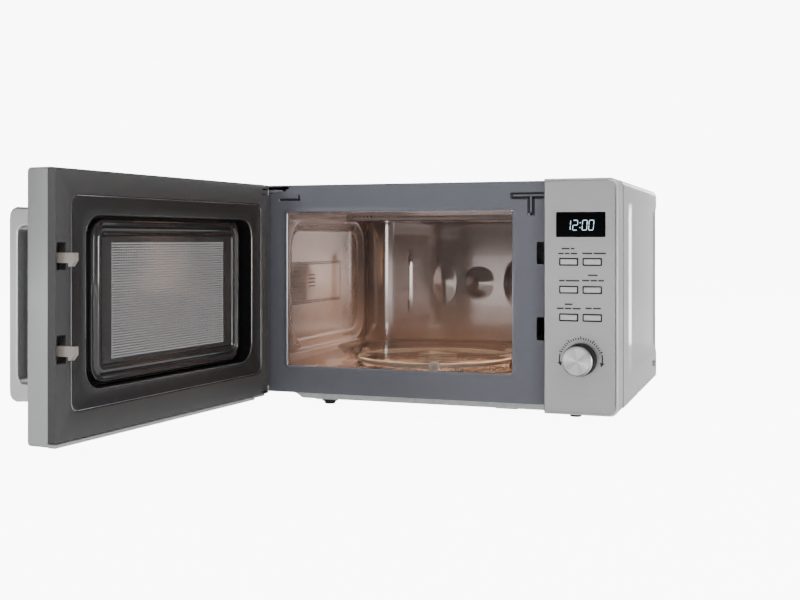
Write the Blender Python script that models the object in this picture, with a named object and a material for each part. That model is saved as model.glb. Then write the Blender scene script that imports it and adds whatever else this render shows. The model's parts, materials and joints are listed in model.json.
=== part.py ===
"""Microwave oven with grill, built as the real one comes apart on a bench.

Metres, +Z up, +X to the right and +Y to the back. Everything is placed in the oven's own frame: X = 0 is
the middle of the body, Y = 0 the front surface of the front plate and Z = 0 the table. The door stands open.
The last step moves the whole assembly so that the middle of its footprint is at the origin.
"""

import math

import bmesh
import bpy
from mathutils import Matrix, Vector

# Sheet metal and the clearance between touching pieces
SHEET = 0.0008
GAP = 0.0003

# Body
BODY_HALF = 0.220
BODY_TOP = 0.258
BODY_BOTTOM = 0.017
BODY_DEPTH = 0.309
TOP_RADIUS = 0.008
PLATE_HALF = BODY_HALF - SHEET - GAP
BASE_HALF = 0.212
BASE_BOTTOM = 0.012
FOOT_HEIGHT = 0.0057
FOOT_X = {"left": -0.130, "right": 0.163}
FOOT_Y = {"front": 0.040, "rear": 0.280}

# Cavity, inner surfaces
CAVITY_LEFT = -0.1685
CAVITY_RIGHT = 0.1021
CAVITY_FLOOR = 0.0410
CAVITY_CEILING = 0.2265
CAVITY_BACK = 0.300
CAVITY_CORNER = 0.028
MOUTH_BOTTOM = 0.0474
MOUTH_TOP = 0.2267

# Turntable
TURN_X = -0.033
TURN_Y = 0.150
TRAY_RADIUS = 0.1225
ROLLER_CIRCLE = 0.1075
ROLLER_RADIUS = 0.006
ROLLER_ANGLES = (-74, 46, 166)
TRAY_BOTTOM = CAVITY_FLOOR + 2 * ROLLER_RADIUS + 2 * GAP

# Grill in the ceiling
GRILL_X = (-0.135, 0.085)
GRILL_Y = (0.105, 0.200)
GUARD_DROP = 0.009

# Control panel
PANEL_LEFT = 0.1426
PANEL_BOTTOM = 0.013
PANEL_FACE = -0.0340
PANEL_WALL = 0.002
DISPLAY_X = (0.1558, 0.2071)
DISPLAY_Z = (0.197, 0.223)
BUTTON_SIZE = (0.0202, 0.0083)
BUTTON_COLUMNS = {"left": 0.16905, "right": 0.19345}
BUTTON_ROWS = {"top": 0.1714, "middle": 0.1425, "bottom": 0.1138}
BUTTON_TRAVEL = 0.0012
KNOB_X = 0.1817
KNOB_Z = 0.0708
KNOB_RADIUS = 0.0170

# Door, measured from its pivot: x from the hinge to the free edge, y towards the body when closed
PIVOT_X = -0.205
PIVOT_Y = -0.0238
DOOR_OPEN = 95
DOOR_HINGE_EDGE = -0.014
DOOR_FREE_EDGE = 0.3466
DOOR_INNER = 0.0218
DOOR_OUTER = -0.0102
DOOR_BOTTOM = 0.013
FRAME_BACK = 0.0138
FRAME_BOTTOM = 0.017
CHOKE_OUTER_X = (0.0225, 0.302)
CHOKE_OUTER_Z = (0.0578, 0.2168)
PLATEAU_X = (0.0372, 0.2873)
PLATEAU_Z = (0.0612, 0.2140)
PLATEAU_LEVEL = 0.0114
LATCH_SLOT_X = (0.128, 0.140)
LATCH_SLOTS_Z = ((0.086, 0.111), (0.168, 0.192))
LATCH_TRAVEL = 0.004

# Hinges
ARM_HALF = 0.004
ARM_SHEET = 0.0015
UPPER_ARM = 0.2487
LOWER_ARM = 0.0218
PIN_RADIUS = 0.0024

# Component bay on the right of the cavity
LAMP = (0.235, 0.209)
MAGNETRON_Y = 0.150
MAGNETRON_Z = 0.160
FAN_X = 0.163
FAN_Z = 0.175
FAN_RADIUS = 0.045

FINISHES = {
    "casing_paint": ((0.55, 0.56, 0.58), 0.45, 0.3),
    "plate_paint": ((0.16, 0.17, 0.20), 0.5, 0.2),
    "cavity_enamel": ((0.33, 0.31, 0.29), 0.45, 0.3),
    "zinc_steel": ((0.55, 0.56, 0.57), 0.4, 0.9),
    "brushed_steel": ((0.62, 0.62, 0.63), 0.3, 1.0),
    "silver_plastic": ((0.55, 0.56, 0.58), 0.35, 0.1),
    "dark_plastic": ((0.09, 0.09, 0.10), 0.45, 0.0),
    "black_plastic": ((0.02, 0.02, 0.02), 0.4, 0.0),
    "white_plastic": ((0.75, 0.75, 0.72), 0.5, 0.0),
    "screen_paint": ((0.20, 0.20, 0.21), 0.5, 0.2),
    "smoked_glass": ((0.01, 0.01, 0.01), 0.05, 0.0),
    "clear_glass": ((0.85, 0.92, 0.90), 0.03, 0.0),
    "mica": ((0.60, 0.55, 0.45), 0.6, 0.0),
    "quartz": ((0.85, 0.83, 0.80), 0.2, 0.0),
    "copper": ((0.72, 0.30, 0.14), 0.3, 1.0),
    "lamination": ((0.18, 0.17, 0.17), 0.5, 0.8),
    "aluminium": ((0.70, 0.71, 0.72), 0.35, 1.0),
    "circuit_board": ((0.05, 0.20, 0.08), 0.5, 0.0),
    "rubber": ((0.02, 0.02, 0.02), 0.8, 0.0),
}

PLANES = {
    "XY": lambda a, b, c: (a, b, c),
    "XZ": lambda a, b, c: (a, c, b),
    "YZ": lambda a, b, c: (c, a, b),
}


# Making solids


def clear_scene():
    for thing in list(bpy.data.objects):
        bpy.data.objects.remove(thing, do_unlink=True)


def finish(name):
    if name in bpy.data.materials:
        return bpy.data.materials[name]
    colour, roughness, metallic = FINISHES[name]
    made = bpy.data.materials.new(name)
    made.use_nodes = True
    shader = made.node_tree.nodes["Principled BSDF"]
    shader.inputs["Base Color"].default_value = (*colour, 1.0)
    shader.inputs["Roughness"].default_value = roughness
    shader.inputs["Metallic"].default_value = metallic
    return made


def empty(name, parent, location=(0, 0, 0), turn=0.0):
    made = bpy.data.objects.new(name, None)
    bpy.context.scene.collection.objects.link(made)
    made.parent = parent
    made.location = location
    made.rotation_euler.z = math.radians(turn)
    return made


def add(name, bm, finish_name, parent):
    """A named object from a bmesh, with its faces turned outwards."""
    bmesh.ops.recalc_face_normals(bm, faces=bm.faces)
    mesh = bpy.data.meshes.new(name)
    bm.to_mesh(mesh)
    bm.free()
    mesh.shade_smooth()
    mesh.set_sharp_from_angle(angle=math.radians(30))
    mesh.materials.append(finish(finish_name))
    made = bpy.data.objects.new(name, mesh)
    bpy.context.scene.collection.objects.link(made)
    made.parent = parent
    return made


def combine(target, bm, operation):
    """Cuts a helper out of an object, or unites the two."""
    helper = add(f"{target.name}_tool_{len(target.modifiers)}", bm, "zinc_steel", target.parent)
    helper.location = target.location
    helper.hide_render = True
    helper.display_type = "WIRE"
    change = target.modifiers.new(operation.lower(), "BOOLEAN")
    change.operation = operation
    change.solver = "EXACT"
    change.object = helper


def cut(target, bm):
    combine(target, bm, "DIFFERENCE")


def unite(target, bm):
    combine(target, bm, "UNION")


def band(bm, first, second):
    """Four-sided faces between two closed rows with the same number of points."""
    for index in range(len(first)):
        bm.faces.new((first[index - 1], first[index], second[index], second[index - 1]))


def prism(outline, plane, start, end, bm=None):
    """An outline in one plane, extruded between two positions on the third axis."""
    bm = bm or bmesh.new()
    place = PLANES[plane]
    low = [bm.verts.new(place(a, b, start)) for a, b in outline]
    high = [bm.verts.new(place(a, b, end)) for a, b in outline]
    bm.faces.new(low)
    bm.faces.new(high)
    band(bm, low, high)
    return bm


def block(x, y, z, bm=None):
    """A box between pairs of limits."""
    outline = [(x[0], y[0]), (x[1], y[0]), (x[1], y[1]), (x[0], y[1])]
    return prism(outline, "XY", z[0], z[1], bm)


def arc(centre, radius, start, end, steps=4):
    """Points on a circle, from one angle to another in degrees."""
    points = []
    for step in range(steps + 1):
        angle = math.radians(start + (end - start) * step / steps)
        points.append((centre[0] + radius * math.cos(angle), centre[1] + radius * math.sin(angle)))
    return points


def rounded(a, b, radii, steps=4):
    """A rectangle between two pairs of limits; radii run from the low corner anticlockwise."""
    corners = ((a[0], b[0], 180), (a[1], b[0], 270), (a[1], b[1], 0), (a[0], b[1], 90))
    points = []
    for (corner_a, corner_b, start), radius in zip(corners, radii):
        centre_a = corner_a + radius if corner_a == a[0] else corner_a - radius
        centre_b = corner_b + radius if corner_b == b[0] else corner_b - radius
        points += arc((centre_a, centre_b), radius, start, start + 90, steps)
    return points


def tube(loops, plane):
    """A closed ring-shaped solid: each loop is an outline and its position on the third axis."""
    bm = bmesh.new()
    place = PLANES[plane]
    rows = [[bm.verts.new(place(a, b, level)) for a, b in outline] for outline, level in loops]
    for index in range(len(rows)):
        band(bm, rows[index - 1], rows[index])
    return bm


def stack(loops, plane):
    """A solid closed at both ends: each loop is an outline and its position on the third axis."""
    bm = bmesh.new()
    place = PLANES[plane]
    rows = [[bm.verts.new(place(a, b, level)) for a, b in outline] for outline, level in loops]
    for first, second in zip(rows, rows[1:]):
        band(bm, first, second)
    bm.faces.new(rows[0])
    bm.faces.new(rows[-1])
    return bm


def turned(profile, plane, centre, steps=32, bm=None):
    """A profile of (radius, height) turned about the third axis; it ends on the axis or closes on itself."""
    bm = bm or bmesh.new()
    place = PLANES[plane]
    rows = []
    for radius, height in profile:
        if radius == 0:
            rows.append([bm.verts.new(place(centre[0], centre[1], height))])
            continue
        ring = []
        for step in range(steps):
            angle = 2 * math.pi * step / steps
            a = centre[0] + radius * math.cos(angle)
            b = centre[1] + radius * math.sin(angle)
            ring.append(bm.verts.new(place(a, b, height)))
        rows.append(ring)
    pairs = list(zip(rows, rows[1:]))
    if profile[0][0] and profile[-1][0]:
        pairs.append((rows[-1], rows[0]))
    for first, second in pairs:
        if len(first) == 1 or len(second) == 1:
            tip, ring = (first[0], second) if len(first) == 1 else (second[0], first)
            for index in range(len(ring)):
                bm.faces.new((tip, ring[index - 1], ring[index]))
        else:
            band(bm, first, second)
    return bm


def rod(radius, plane, centre, start, end, steps=20, bm=None):
    return turned([(0, start), (radius, start), (radius, end), (0, end)], plane, centre, steps, bm)


def pipe(inner, outer, plane, centre, start, end, steps=24, bm=None):
    profile = [(inner, start), (outer, start), (outer, end), (inner, end)]
    return turned(profile, plane, centre, steps, bm)


def spun(bm, centre, angle):
    """The geometry turned about a vertical line through a point."""
    middle = Vector((*centre, 0))
    turn = Matrix.Translation(middle) @ Matrix.Rotation(math.radians(angle), 4, "Z")
    bmesh.ops.transform(bm, matrix=turn @ Matrix.Translation(-middle), verts=bm.verts)
    return bm


# Body


def body_outline(half, low, high, radius):
    return rounded((-half, half), (low, high), (0.0005, 0.0005, radius, radius))


def outer_casing(body):
    """One sheet bent over the top and both sides."""
    outer = [(-BODY_HALF, BODY_BOTTOM)]
    outer += arc((-BODY_HALF + TOP_RADIUS, BODY_TOP - TOP_RADIUS), TOP_RADIUS, 180, 90)
    outer += arc((BODY_HALF - TOP_RADIUS, BODY_TOP - TOP_RADIUS), TOP_RADIUS, 90, 0)
    outer += [(BODY_HALF, BODY_BOTTOM)]
    inner = [(BODY_HALF - SHEET, BODY_BOTTOM)]
    inner += arc((BODY_HALF - TOP_RADIUS, BODY_TOP - TOP_RADIUS), TOP_RADIUS - SHEET, 0, 90)
    inner += arc((-BODY_HALF + TOP_RADIUS, BODY_TOP - TOP_RADIUS), TOP_RADIUS - SHEET, 90, 180)
    inner += [(-BODY_HALF + SHEET, BODY_BOTTOM)]
    add("outer_casing", prism(outer + inner, "XZ", 0, BODY_DEPTH), "casing_paint", body)


def front_plate(body):
    """The face frame: cavity mouth, two latch slots, the opening behind the controls, hinge notches."""
    outline = body_outline(PLATE_HALF, BODY_BOTTOM, BODY_TOP - SHEET - GAP, TOP_RADIUS - SHEET - GAP)
    plate = add("front_plate", prism(outline, "XZ", 0, 0.001), "plate_paint", body)
    through = (-0.001, 0.002)
    mouth = rounded((CAVITY_LEFT, CAVITY_RIGHT), (MOUTH_BOTTOM, MOUTH_TOP), [0.005] * 4)
    cut(plate, prism(mouth, "XZ", *through))
    cut(plate, block((0.162, 0.212), through, (0.030, 0.245)))
    for slot in LATCH_SLOTS_Z:
        cut(plate, block(LATCH_SLOT_X, through, slot))
    for arm in (UPPER_ARM, LOWER_ARM):
        cut(plate, block((PIVOT_X - 0.0055, PIVOT_X + 0.0055), through, (arm - 0.0017, arm + 0.0032)))


def rear_panel(body):
    """Back of the body, with the fan's intake slots, the exhaust slots and the hole for the mains lead."""
    outline = body_outline(PLATE_HALF, BODY_BOTTOM + SHEET, BODY_TOP - SHEET - GAP, TOP_RADIUS - SHEET - GAP)
    level = (BODY_DEPTH - 0.002, BODY_DEPTH - 0.002 + SHEET)
    through = (level[0] - 0.001, level[1] + 0.001)
    panel = add("rear_panel", prism(outline, "XZ", *level), "zinc_steel", body)
    for column in (FAN_X, -0.120):
        slots = bmesh.new()
        for row in range(7):
            low = 0.138 + row * 0.012
            block((column - 0.035, column + 0.035), through, (low, low + 0.004), slots)
        cut(panel, slots)
    cut(panel, rod(0.0083, "XZ", (0.185, 0.055), *through))


def base_plate(body):
    """A shallow tray under everything, with two pressed pads."""
    outer = rounded((-BASE_HALF, BASE_HALF), (0.004, 0.305), [0.004] * 4, 2)
    inner = rounded((-BASE_HALF + SHEET, BASE_HALF - SHEET), (0.004 + SHEET, 0.305 - SHEET), [0.0032] * 4, 2)
    tray = add("base_plate", prism(outer, "XY", BASE_BOTTOM, BODY_BOTTOM - GAP), "zinc_steel", body)
    cut(tray, prism(inner, "XY", BASE_BOTTOM + SHEET, BODY_BOTTOM + 0.001))
    for centre in (-0.130, 0.088):
        pad = rounded((centre - 0.016, centre + 0.016), (0.024, 0.056), [0.004] * 4, 2)
        unite(tray, prism(pad, "XY", FOOT_HEIGHT + GAP, BASE_BOTTOM + 0.0004))
    for x, row in (("right", "front"), ("left", "rear"), ("right", "rear")):
        place = (FOOT_X[x], FOOT_Y[row])
        unite(tray, rod(0.012, "XY", place, FOOT_HEIGHT + GAP, BASE_BOTTOM + 0.0004))


def feet(body):
    profile = [(0, 0), (0.0085, 0), (0.0095, FOOT_HEIGHT), (0, FOOT_HEIGHT)]
    for row, y in FOOT_Y.items():
        for side, x in FOOT_X.items():
            add(f"foot_{row}_{side}", turned(profile, "XY", (x, y), 20), "rubber", body)


# Cavity


def cavity(body):
    """One sheet bent into the floor and both side walls, a ceiling, and a back sheet with wide corners."""
    wide = (CAVITY_LEFT - SHEET, CAVITY_RIGHT + SHEET)
    deep = (0.001 + GAP, CAVITY_BACK + SHEET)
    wall_y = (deep[0], CAVITY_BACK - CAVITY_CORNER - GAP)
    wall_top = CAVITY_CEILING - GAP
    floor = (CAVITY_FLOOR - SHEET, CAVITY_FLOOR)
    wrapper = add("cavity_wrapper", block(wide, deep, floor), "cavity_enamel", body)
    unite(wrapper, block((wide[0], CAVITY_LEFT), wall_y, (floor[0], wall_top)))
    unite(wrapper, block((CAVITY_RIGHT, wide[1]), wall_y, (floor[0], wall_top)))
    cut(wrapper, rod(0.005, "XY", (TURN_X, TURN_Y), 0.030, 0.050))
    cut(wrapper, block((0.100, 0.104), (0.110, 0.190), (0.130, 0.185)))
    cut(wrapper, rod(0.011, "YZ", LAMP, 0.100, 0.104))
    ceiling = block(wide, deep, (CAVITY_CEILING, CAVITY_CEILING + SHEET))
    ceiling = add("cavity_ceiling", ceiling, "cavity_enamel", body)
    grill_hole = ((GRILL_X[0] + 0.01, GRILL_X[1] - 0.01), (GRILL_Y[0] + 0.01, GRILL_Y[1] - 0.01))
    cut(ceiling, block(*grill_hole, (0.220, 0.230)))
    left = (CAVITY_LEFT + CAVITY_CORNER, CAVITY_BACK - CAVITY_CORNER)
    right = (CAVITY_RIGHT - CAVITY_CORNER, CAVITY_BACK - CAVITY_CORNER)
    inside = arc(left, CAVITY_CORNER, 180, 90, 6) + arc(right, CAVITY_CORNER, 90, 0, 6)
    reach = CAVITY_CORNER + SHEET
    outside = arc(right, reach, 0, 90, 6) + arc(left, reach, 90, 180, 6)
    back = prism(inside + outside, "XY", CAVITY_FLOOR + GAP, wall_top)
    add("cavity_back", back, "cavity_enamel", body)


def grill(body):
    """A heater of two joined tubes above the ceiling, a reflector over them and a guard tray under them."""
    low = CAVITY_CEILING - GUARD_DROP
    guard = block(GRILL_X, GRILL_Y, (low, CAVITY_CEILING - GAP))
    guard = add("grill_guard", guard, "cavity_enamel", body)
    inset = SHEET
    hollow = ((GRILL_X[0] + inset, GRILL_X[1] - inset), (GRILL_Y[0] + inset, GRILL_Y[1] - inset))
    cut(guard, block(*hollow, (low + SHEET, CAVITY_CEILING)))
    above = CAVITY_CEILING + SHEET + GAP
    reflector = block(GRILL_X, GRILL_Y, (above, above + 0.022))
    reflector = add("grill_reflector", reflector, "aluminium", body)
    cut(reflector, block(*hollow, (above - 0.001, above + 0.022 - SHEET)))
    level = above + 0.010
    ends = (GRILL_X[0] + 0.006, GRILL_X[1] - 0.006)
    heater = add("grill_heater", rod(0.005, "YZ", (0.135, level), *ends, 16), "quartz", body)
    unite(heater, rod(0.005, "YZ", (0.170, level), *ends, 16))
    unite(heater, rod(0.0045, "XZ", (ends[0] + 0.005, level), 0.135, 0.170, 16))


# Turntable


def turntable(body):
    centre = (0, 0)
    tray_axis = empty("turntable_axis", body, (TURN_X, TURN_Y, 0))
    profile = [
        (0, TRAY_BOTTOM),
        (0.1125, TRAY_BOTTOM),
        (0.1205, TRAY_BOTTOM + 0.0045),
        (TRAY_RADIUS, TRAY_BOTTOM + 0.0075),
        (TRAY_RADIUS, TRAY_BOTTOM + 0.0084),
        (0.1195, TRAY_BOTTOM + 0.0084),
        (0.1105, TRAY_BOTTOM + 0.0045),
        (0, TRAY_BOTTOM + 0.0045),
    ]
    tray = add("glass_tray", turned(profile, "XY", centre, 48), "clear_glass", tray_axis)
    lugs = bmesh.new()
    for angle in (60, 180, 300):
        place = (0.018 * math.cos(math.radians(angle)), 0.018 * math.sin(math.radians(angle)))
        rod(0.004, "XY", place, TRAY_BOTTOM - 0.004, TRAY_BOTTOM + 0.001, 12, lugs)
    unite(tray, lugs)
    top = TRAY_BOTTOM - GAP
    profile = [(0, 0.028), (0.0035, 0.028), (0.0035, 0.0425), (0.008, 0.0425), (0.008, top), (0, top)]
    coupler = add("drive_coupler", turned(profile, "XY", centre, 24), "white_plastic", tray_axis)
    for angle in (0, 120, 240):
        arm = block((0.004, 0.026), (-0.004, 0.004), (0.0455, top - 0.0006))
        unite(coupler, spun(arm, centre, angle))


def roller_ring(body):
    """A ring that carries three wheels; the tray rolls on them."""
    level = CAVITY_FLOOR + GAP + ROLLER_RADIUS
    ring_axis = empty("roller_ring_axis", body, (TURN_X, TURN_Y, 0))
    rim = pipe(0.092, 0.098, "XY", (0, 0), level - 0.0025, level + 0.0025, 48)
    ring = add("roller_ring", rim, "white_plastic", ring_axis)
    for number, angle in enumerate(ROLLER_ANGLES, 1):
        axle = rod(0.0016, "YZ", (0, level), 0.096, ROLLER_CIRCLE + 0.006, 12)
        unite(ring, spun(axle, (0, 0), angle))
        turn = math.radians(angle)
        place = (TURN_X + ROLLER_CIRCLE * math.cos(turn), TURN_Y + ROLLER_CIRCLE * math.sin(turn), level)
        wheel_axis = empty(f"roller_axis_{number}", body, place, angle)
        wheel = pipe(0.0020, ROLLER_RADIUS, "YZ", (0, 0), -0.004, 0.004, 24)
        add(f"roller_wheel_{number}", wheel, "white_plastic", wheel_axis)


def turntable_motor(body):
    case = pipe(0.0039, 0.025, "XY", (TURN_X, TURN_Y), 0.0225, CAVITY_FLOOR - SHEET - GAP, 32)
    add("turntable_motor", case, "zinc_steel", body)


# Control panel


def panel_openings(bm, growth, level):
    """The holes for the display and the six buttons, a little larger by growth on each side."""
    block(
        (DISPLAY_X[0] - growth, DISPLAY_X[1] + growth),
        level,
        (DISPLAY_Z[0] - growth, DISPLAY_Z[1] + growth),
        bm,
    )
    half = (BUTTON_SIZE[0] / 2 + growth, BUTTON_SIZE[1] / 2 + growth)
    for x in BUTTON_COLUMNS.values():
        for z in BUTTON_ROWS.values():
            block((x - half[0], x + half[0]), level, (z - half[1], z + half[1]), bm)
    return bm


def control_panel(body):
    """A plastic housing with a brushed steel face laid on it."""
    front = PANEL_FACE + 0.0009 + GAP
    wide = (PANEL_LEFT, BODY_HALF)
    tall = (PANEL_BOTTOM, BODY_TOP)
    outline = rounded(wide, tall, (0.001, 0.008, 0.008, 0.001))
    bezel = add("control_panel_bezel", prism(outline, "XZ", front, -GAP), "silver_plastic", body)
    wide = (wide[0] + PANEL_WALL, wide[1] - PANEL_WALL)
    tall = (tall[0] + PANEL_WALL, tall[1] - PANEL_WALL)
    outline = rounded(wide, tall, (0.001, 0.006, 0.006, 0.001))
    cut(bezel, prism(outline, "XZ", front + PANEL_WALL, 0.001))
    cut(bezel, panel_openings(bmesh.new(), GAP, (front - 0.001, front + 0.003)))
    cut(bezel, rod(0.0048, "XZ", (KNOB_X, KNOB_Z), front - 0.001, front + 0.003))
    outline = rounded((PANEL_LEFT + 0.0006, 0.2172), (0.0150, 0.2562), (0.001, 0.007, 0.007, 0.001))
    face = add("control_panel_face", prism(outline, "XZ", PANEL_FACE, front - GAP), "brushed_steel", body)
    cut(face, panel_openings(bmesh.new(), 0, (PANEL_FACE - 0.001, front + 0.001)))
    cut(face, rod(0.0045, "XZ", (KNOB_X, KNOB_Z), PANEL_FACE - 0.001, front + 0.001))


def display_window(body):
    x = (DISPLAY_X[0] + GAP, DISPLAY_X[1] - GAP)
    z = (DISPLAY_Z[0] + GAP, DISPLAY_Z[1] - GAP)
    add("display_window", block(x, (PANEL_FACE - 0.0002, -0.0312), z), "smoked_glass", body)


def control_board(body):
    """The board, and on it the display module, a switch behind each key and the knob's encoder."""
    place = (KNOB_X, KNOB_Z)
    board = block((0.147, 0.2155), (-0.0240, -0.0224), (0.045, 0.235))
    board = add("control_board", board, "circuit_board", body)
    inset = 0.0013
    display_x = (DISPLAY_X[0] + inset, DISPLAY_X[1] - inset)
    display_z = (DISPLAY_Z[0] + inset, DISPLAY_Z[1] - inset)
    parts = block(display_x, (-0.0300, -0.0238), display_z)
    for x in BUTTON_COLUMNS.values():
        for z in BUTTON_ROWS.values():
            block((x - 0.003, x + 0.003), (-0.0275, -0.0238), (z - 0.003, z + 0.003), parts)
    block((KNOB_X - 0.006, KNOB_X + 0.006), (-0.0300, -0.0238), (KNOB_Z - 0.006, KNOB_Z + 0.006), parts)
    unite(board, parts)
    cut(board, rod(0.0033, "XZ", place, -0.031, -0.0262))


def buttons(body):
    """Six keys: a cap that stands proud of the face and a flange that keeps it in."""
    half = (BUTTON_SIZE[0] / 2 - 0.0004, BUTTON_SIZE[1] / 2 - 0.0004)
    for row, z in BUTTON_ROWS.items():
        for column, x in BUTTON_COLUMNS.items():
            key_axis = empty(f"button_axis_{row}_{column}", body, (x, PANEL_FACE, z))
            front = rounded((-half[0], half[0]), (-half[1], half[1]), [0.0008] * 4, 2)
            flange = rounded((-0.0115, 0.0115), (-0.0052, 0.0052), [0.0008] * 4, 2)
            loops = [(front, -0.001), (front, 0.0036), (flange, 0.0036), (flange, 0.0048)]
            add(f"button_{row}_{column}", stack(loops, "XZ"), "silver_plastic", key_axis)


def knob(body):
    """A grip with its shaft, which turns in the encoder on the board, and a metal cap."""
    knob_axis = empty("knob_axis", body, (KNOB_X, PANEL_FACE, KNOB_Z))
    grip = [(0, -0.0212), (KNOB_RADIUS, -0.0212), (KNOB_RADIUS, -0.0006), (0.0029, -0.0006)]
    grip += [(0.0029, 0.0070), (0, 0.0070)]
    add("knob_grip", turned(grip, "XZ", (0, 0), 40), "black_plastic", knob_axis)
    cap = [(0, -0.0242), (0.0145, -0.0242), (0.0162, -0.0228), (0.0162, -0.0215), (0, -0.0215)]
    add("knob_cap", turned(cap, "XZ", (0, 0), 40), "aluminium", knob_axis)


# Door


def door_rectangle(x, z, growth=0, radius=0.004):
    """A rounded outline on the door, larger by growth on every side."""
    wide = (x[0] - growth, x[1] + growth)
    tall = (z[0] - growth, z[1] + growth)
    return rounded(wide, tall, [radius + growth] * 4, 3)


def door_bezel(door):
    """The outer tray of the door, with the window opening and the cut-outs that clear the hinge arms."""
    wide = (DOOR_HINGE_EDGE, DOOR_FREE_EDGE)
    back = FRAME_BACK - GAP
    shell = prism(door_rectangle(wide, (DOOR_BOTTOM, BODY_TOP), 0, 0.003), "XZ", DOOR_OUTER, back)
    bezel = add("door_bezel", shell, "silver_plastic", door)
    inside = (wide[0] + 0.0025, wide[1] - 0.0025)
    cut(bezel, block(inside, (DOOR_OUTER + 0.003, back + 0.001), (FRAME_BOTTOM, BODY_TOP - 0.0025)))
    cut(bezel, block((0.034, 0.298), (DOOR_OUTER - 0.001, DOOR_OUTER + 0.004), (0.058, 0.216)))
    for arm in (UPPER_ARM, LOWER_ARM):
        depth = (DOOR_OUTER + 0.003, back + 0.001)
        cut(bezel, block((wide[0] - 0.001, wide[0] + 0.004), depth, (arm - 0.003, arm + 0.0045)))
    seat = block((0.3280, 0.3395), (DOOR_OUTER + 0.002, 0.0100), (0.2163, 0.2193))
    unite(bezel, seat)
    for arm, side in ((UPPER_ARM, -1), (LOWER_ARM, 1)):
        middle = arm + ARM_SHEET / 2
        ends = sorted((middle + side * 0.0018, middle + side * 0.0140))
        unite(bezel, block((-0.008, 0.008), (DOOR_OUTER + 0.002, 0.0085), ends))
        hole = sorted((middle, middle + side * 0.0135))
        cut(bezel, rod(PIN_RADIUS + 0.0002, "XY", (0, 0), *hole))
    depth = (back - 0.0005, DOOR_INNER - GAP)
    unite(bezel, block((0.0210, DOOR_FREE_EDGE - 0.0005), depth, (DOOR_BOTTOM, FRAME_BOTTOM - GAP)))


def door_glass(door):
    pane = block((0.026, 0.306), (DOOR_OUTER + 0.003 + GAP, DOOR_OUTER + 0.0063), (0.050, 0.224))
    add("door_outer_glass", pane, "smoked_glass", door)


def door_chassis(door):
    """Pressed steel: a rim behind the inner frame, the choke channel and the raised window screen."""
    rim = ((0.014, 0.320), (0.024, 0.248))
    front = FRAME_BACK - GAP
    loops = [
        (door_rectangle(PLATEAU_X, PLATEAU_Z), PLATEAU_LEVEL),
        (door_rectangle(PLATEAU_X, PLATEAU_Z), 0),
        (door_rectangle(CHOKE_OUTER_X, CHOKE_OUTER_Z), 0),
        (door_rectangle(CHOKE_OUTER_X, CHOKE_OUTER_Z), front),
        (door_rectangle(*rim), front),
        (door_rectangle(*rim), front - SHEET),
        (door_rectangle(CHOKE_OUTER_X, CHOKE_OUTER_Z, SHEET), front - SHEET),
        (door_rectangle(CHOKE_OUTER_X, CHOKE_OUTER_Z, SHEET), -SHEET),
        (door_rectangle(PLATEAU_X, PLATEAU_Z, -SHEET), -SHEET),
        (door_rectangle(PLATEAU_X, PLATEAU_Z, -SHEET), PLATEAU_LEVEL - SHEET),
    ]
    add("door_chassis", stack(loops, "XZ"), "screen_paint", door)
    film = door_rectangle(PLATEAU_X, PLATEAU_Z, -0.003)
    film = prism(film, "XZ", PLATEAU_LEVEL + GAP, PLATEAU_LEVEL + GAP + 0.0006)
    add("door_inner_film", film, "clear_glass", door)


def door_inner_frame(door):
    """The dark frame on the inside: rounded at the hinge, with a slope down to the choke."""
    corner = 0.008
    tall = (FRAME_BOTTOM, BODY_TOP - 0.0005)
    loops = [(door_rectangle((DOOR_HINGE_EDGE, DOOR_FREE_EDGE), tall, 0, 0.002), FRAME_BACK)]
    for step in range(1, 5):
        angle = math.radians(90 * step / 4)
        left = DOOR_HINGE_EDGE + corner * (1 - math.cos(angle))
        level = DOOR_INNER - corner * (1 - math.sin(angle))
        loops.append((door_rectangle((left, DOOR_FREE_EDGE), tall, 0, 0.002), level))
    loops.append((door_rectangle((0.006, 0.326), (0.041, 0.2352)), DOOR_INNER))
    loops.append((door_rectangle(CHOKE_OUTER_X, CHOKE_OUTER_Z), 0.0170))
    loops.append((door_rectangle(CHOKE_OUTER_X, CHOKE_OUTER_Z), FRAME_BACK))
    frame = add("door_inner_frame", tube(loops, "XZ"), "dark_plastic", door)
    for arm in (UPPER_ARM, LOWER_ARM):
        cut(frame, block((DOOR_HINGE_EDGE - 0.001, 0.0060), (0.010, 0.030), (arm - 0.003, arm + 0.0045)))
    for low, high in LATCH_SLOTS_Z:
        slot = (LATCH_SLOT_X[0] - PIVOT_X, LATCH_SLOT_X[1] - PIVOT_X)
        cut(frame, block(slot, (0.010, 0.030), (low, high)))


def door_handle(door):
    """A pull bar on two posts, one outline extruded across."""
    face = DOOR_OUTER - GAP
    z = (0.048, 0.224)
    outline = [
        (face, z[0]),
        (face, z[0] + 0.018),
        (face - 0.026, z[0] + 0.018),
        (face - 0.026, z[1] - 0.018),
        (face, z[1] - 0.018),
        (face, z[1]),
        (face - 0.032, z[1]),
        (face - 0.036, z[1] - 0.006),
        (face - 0.036, z[0] + 0.006),
        (face - 0.032, z[0]),
    ]
    add("door_handle", prism(outline, "YZ", 0.313, 0.330), "brushed_steel", door)


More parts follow.
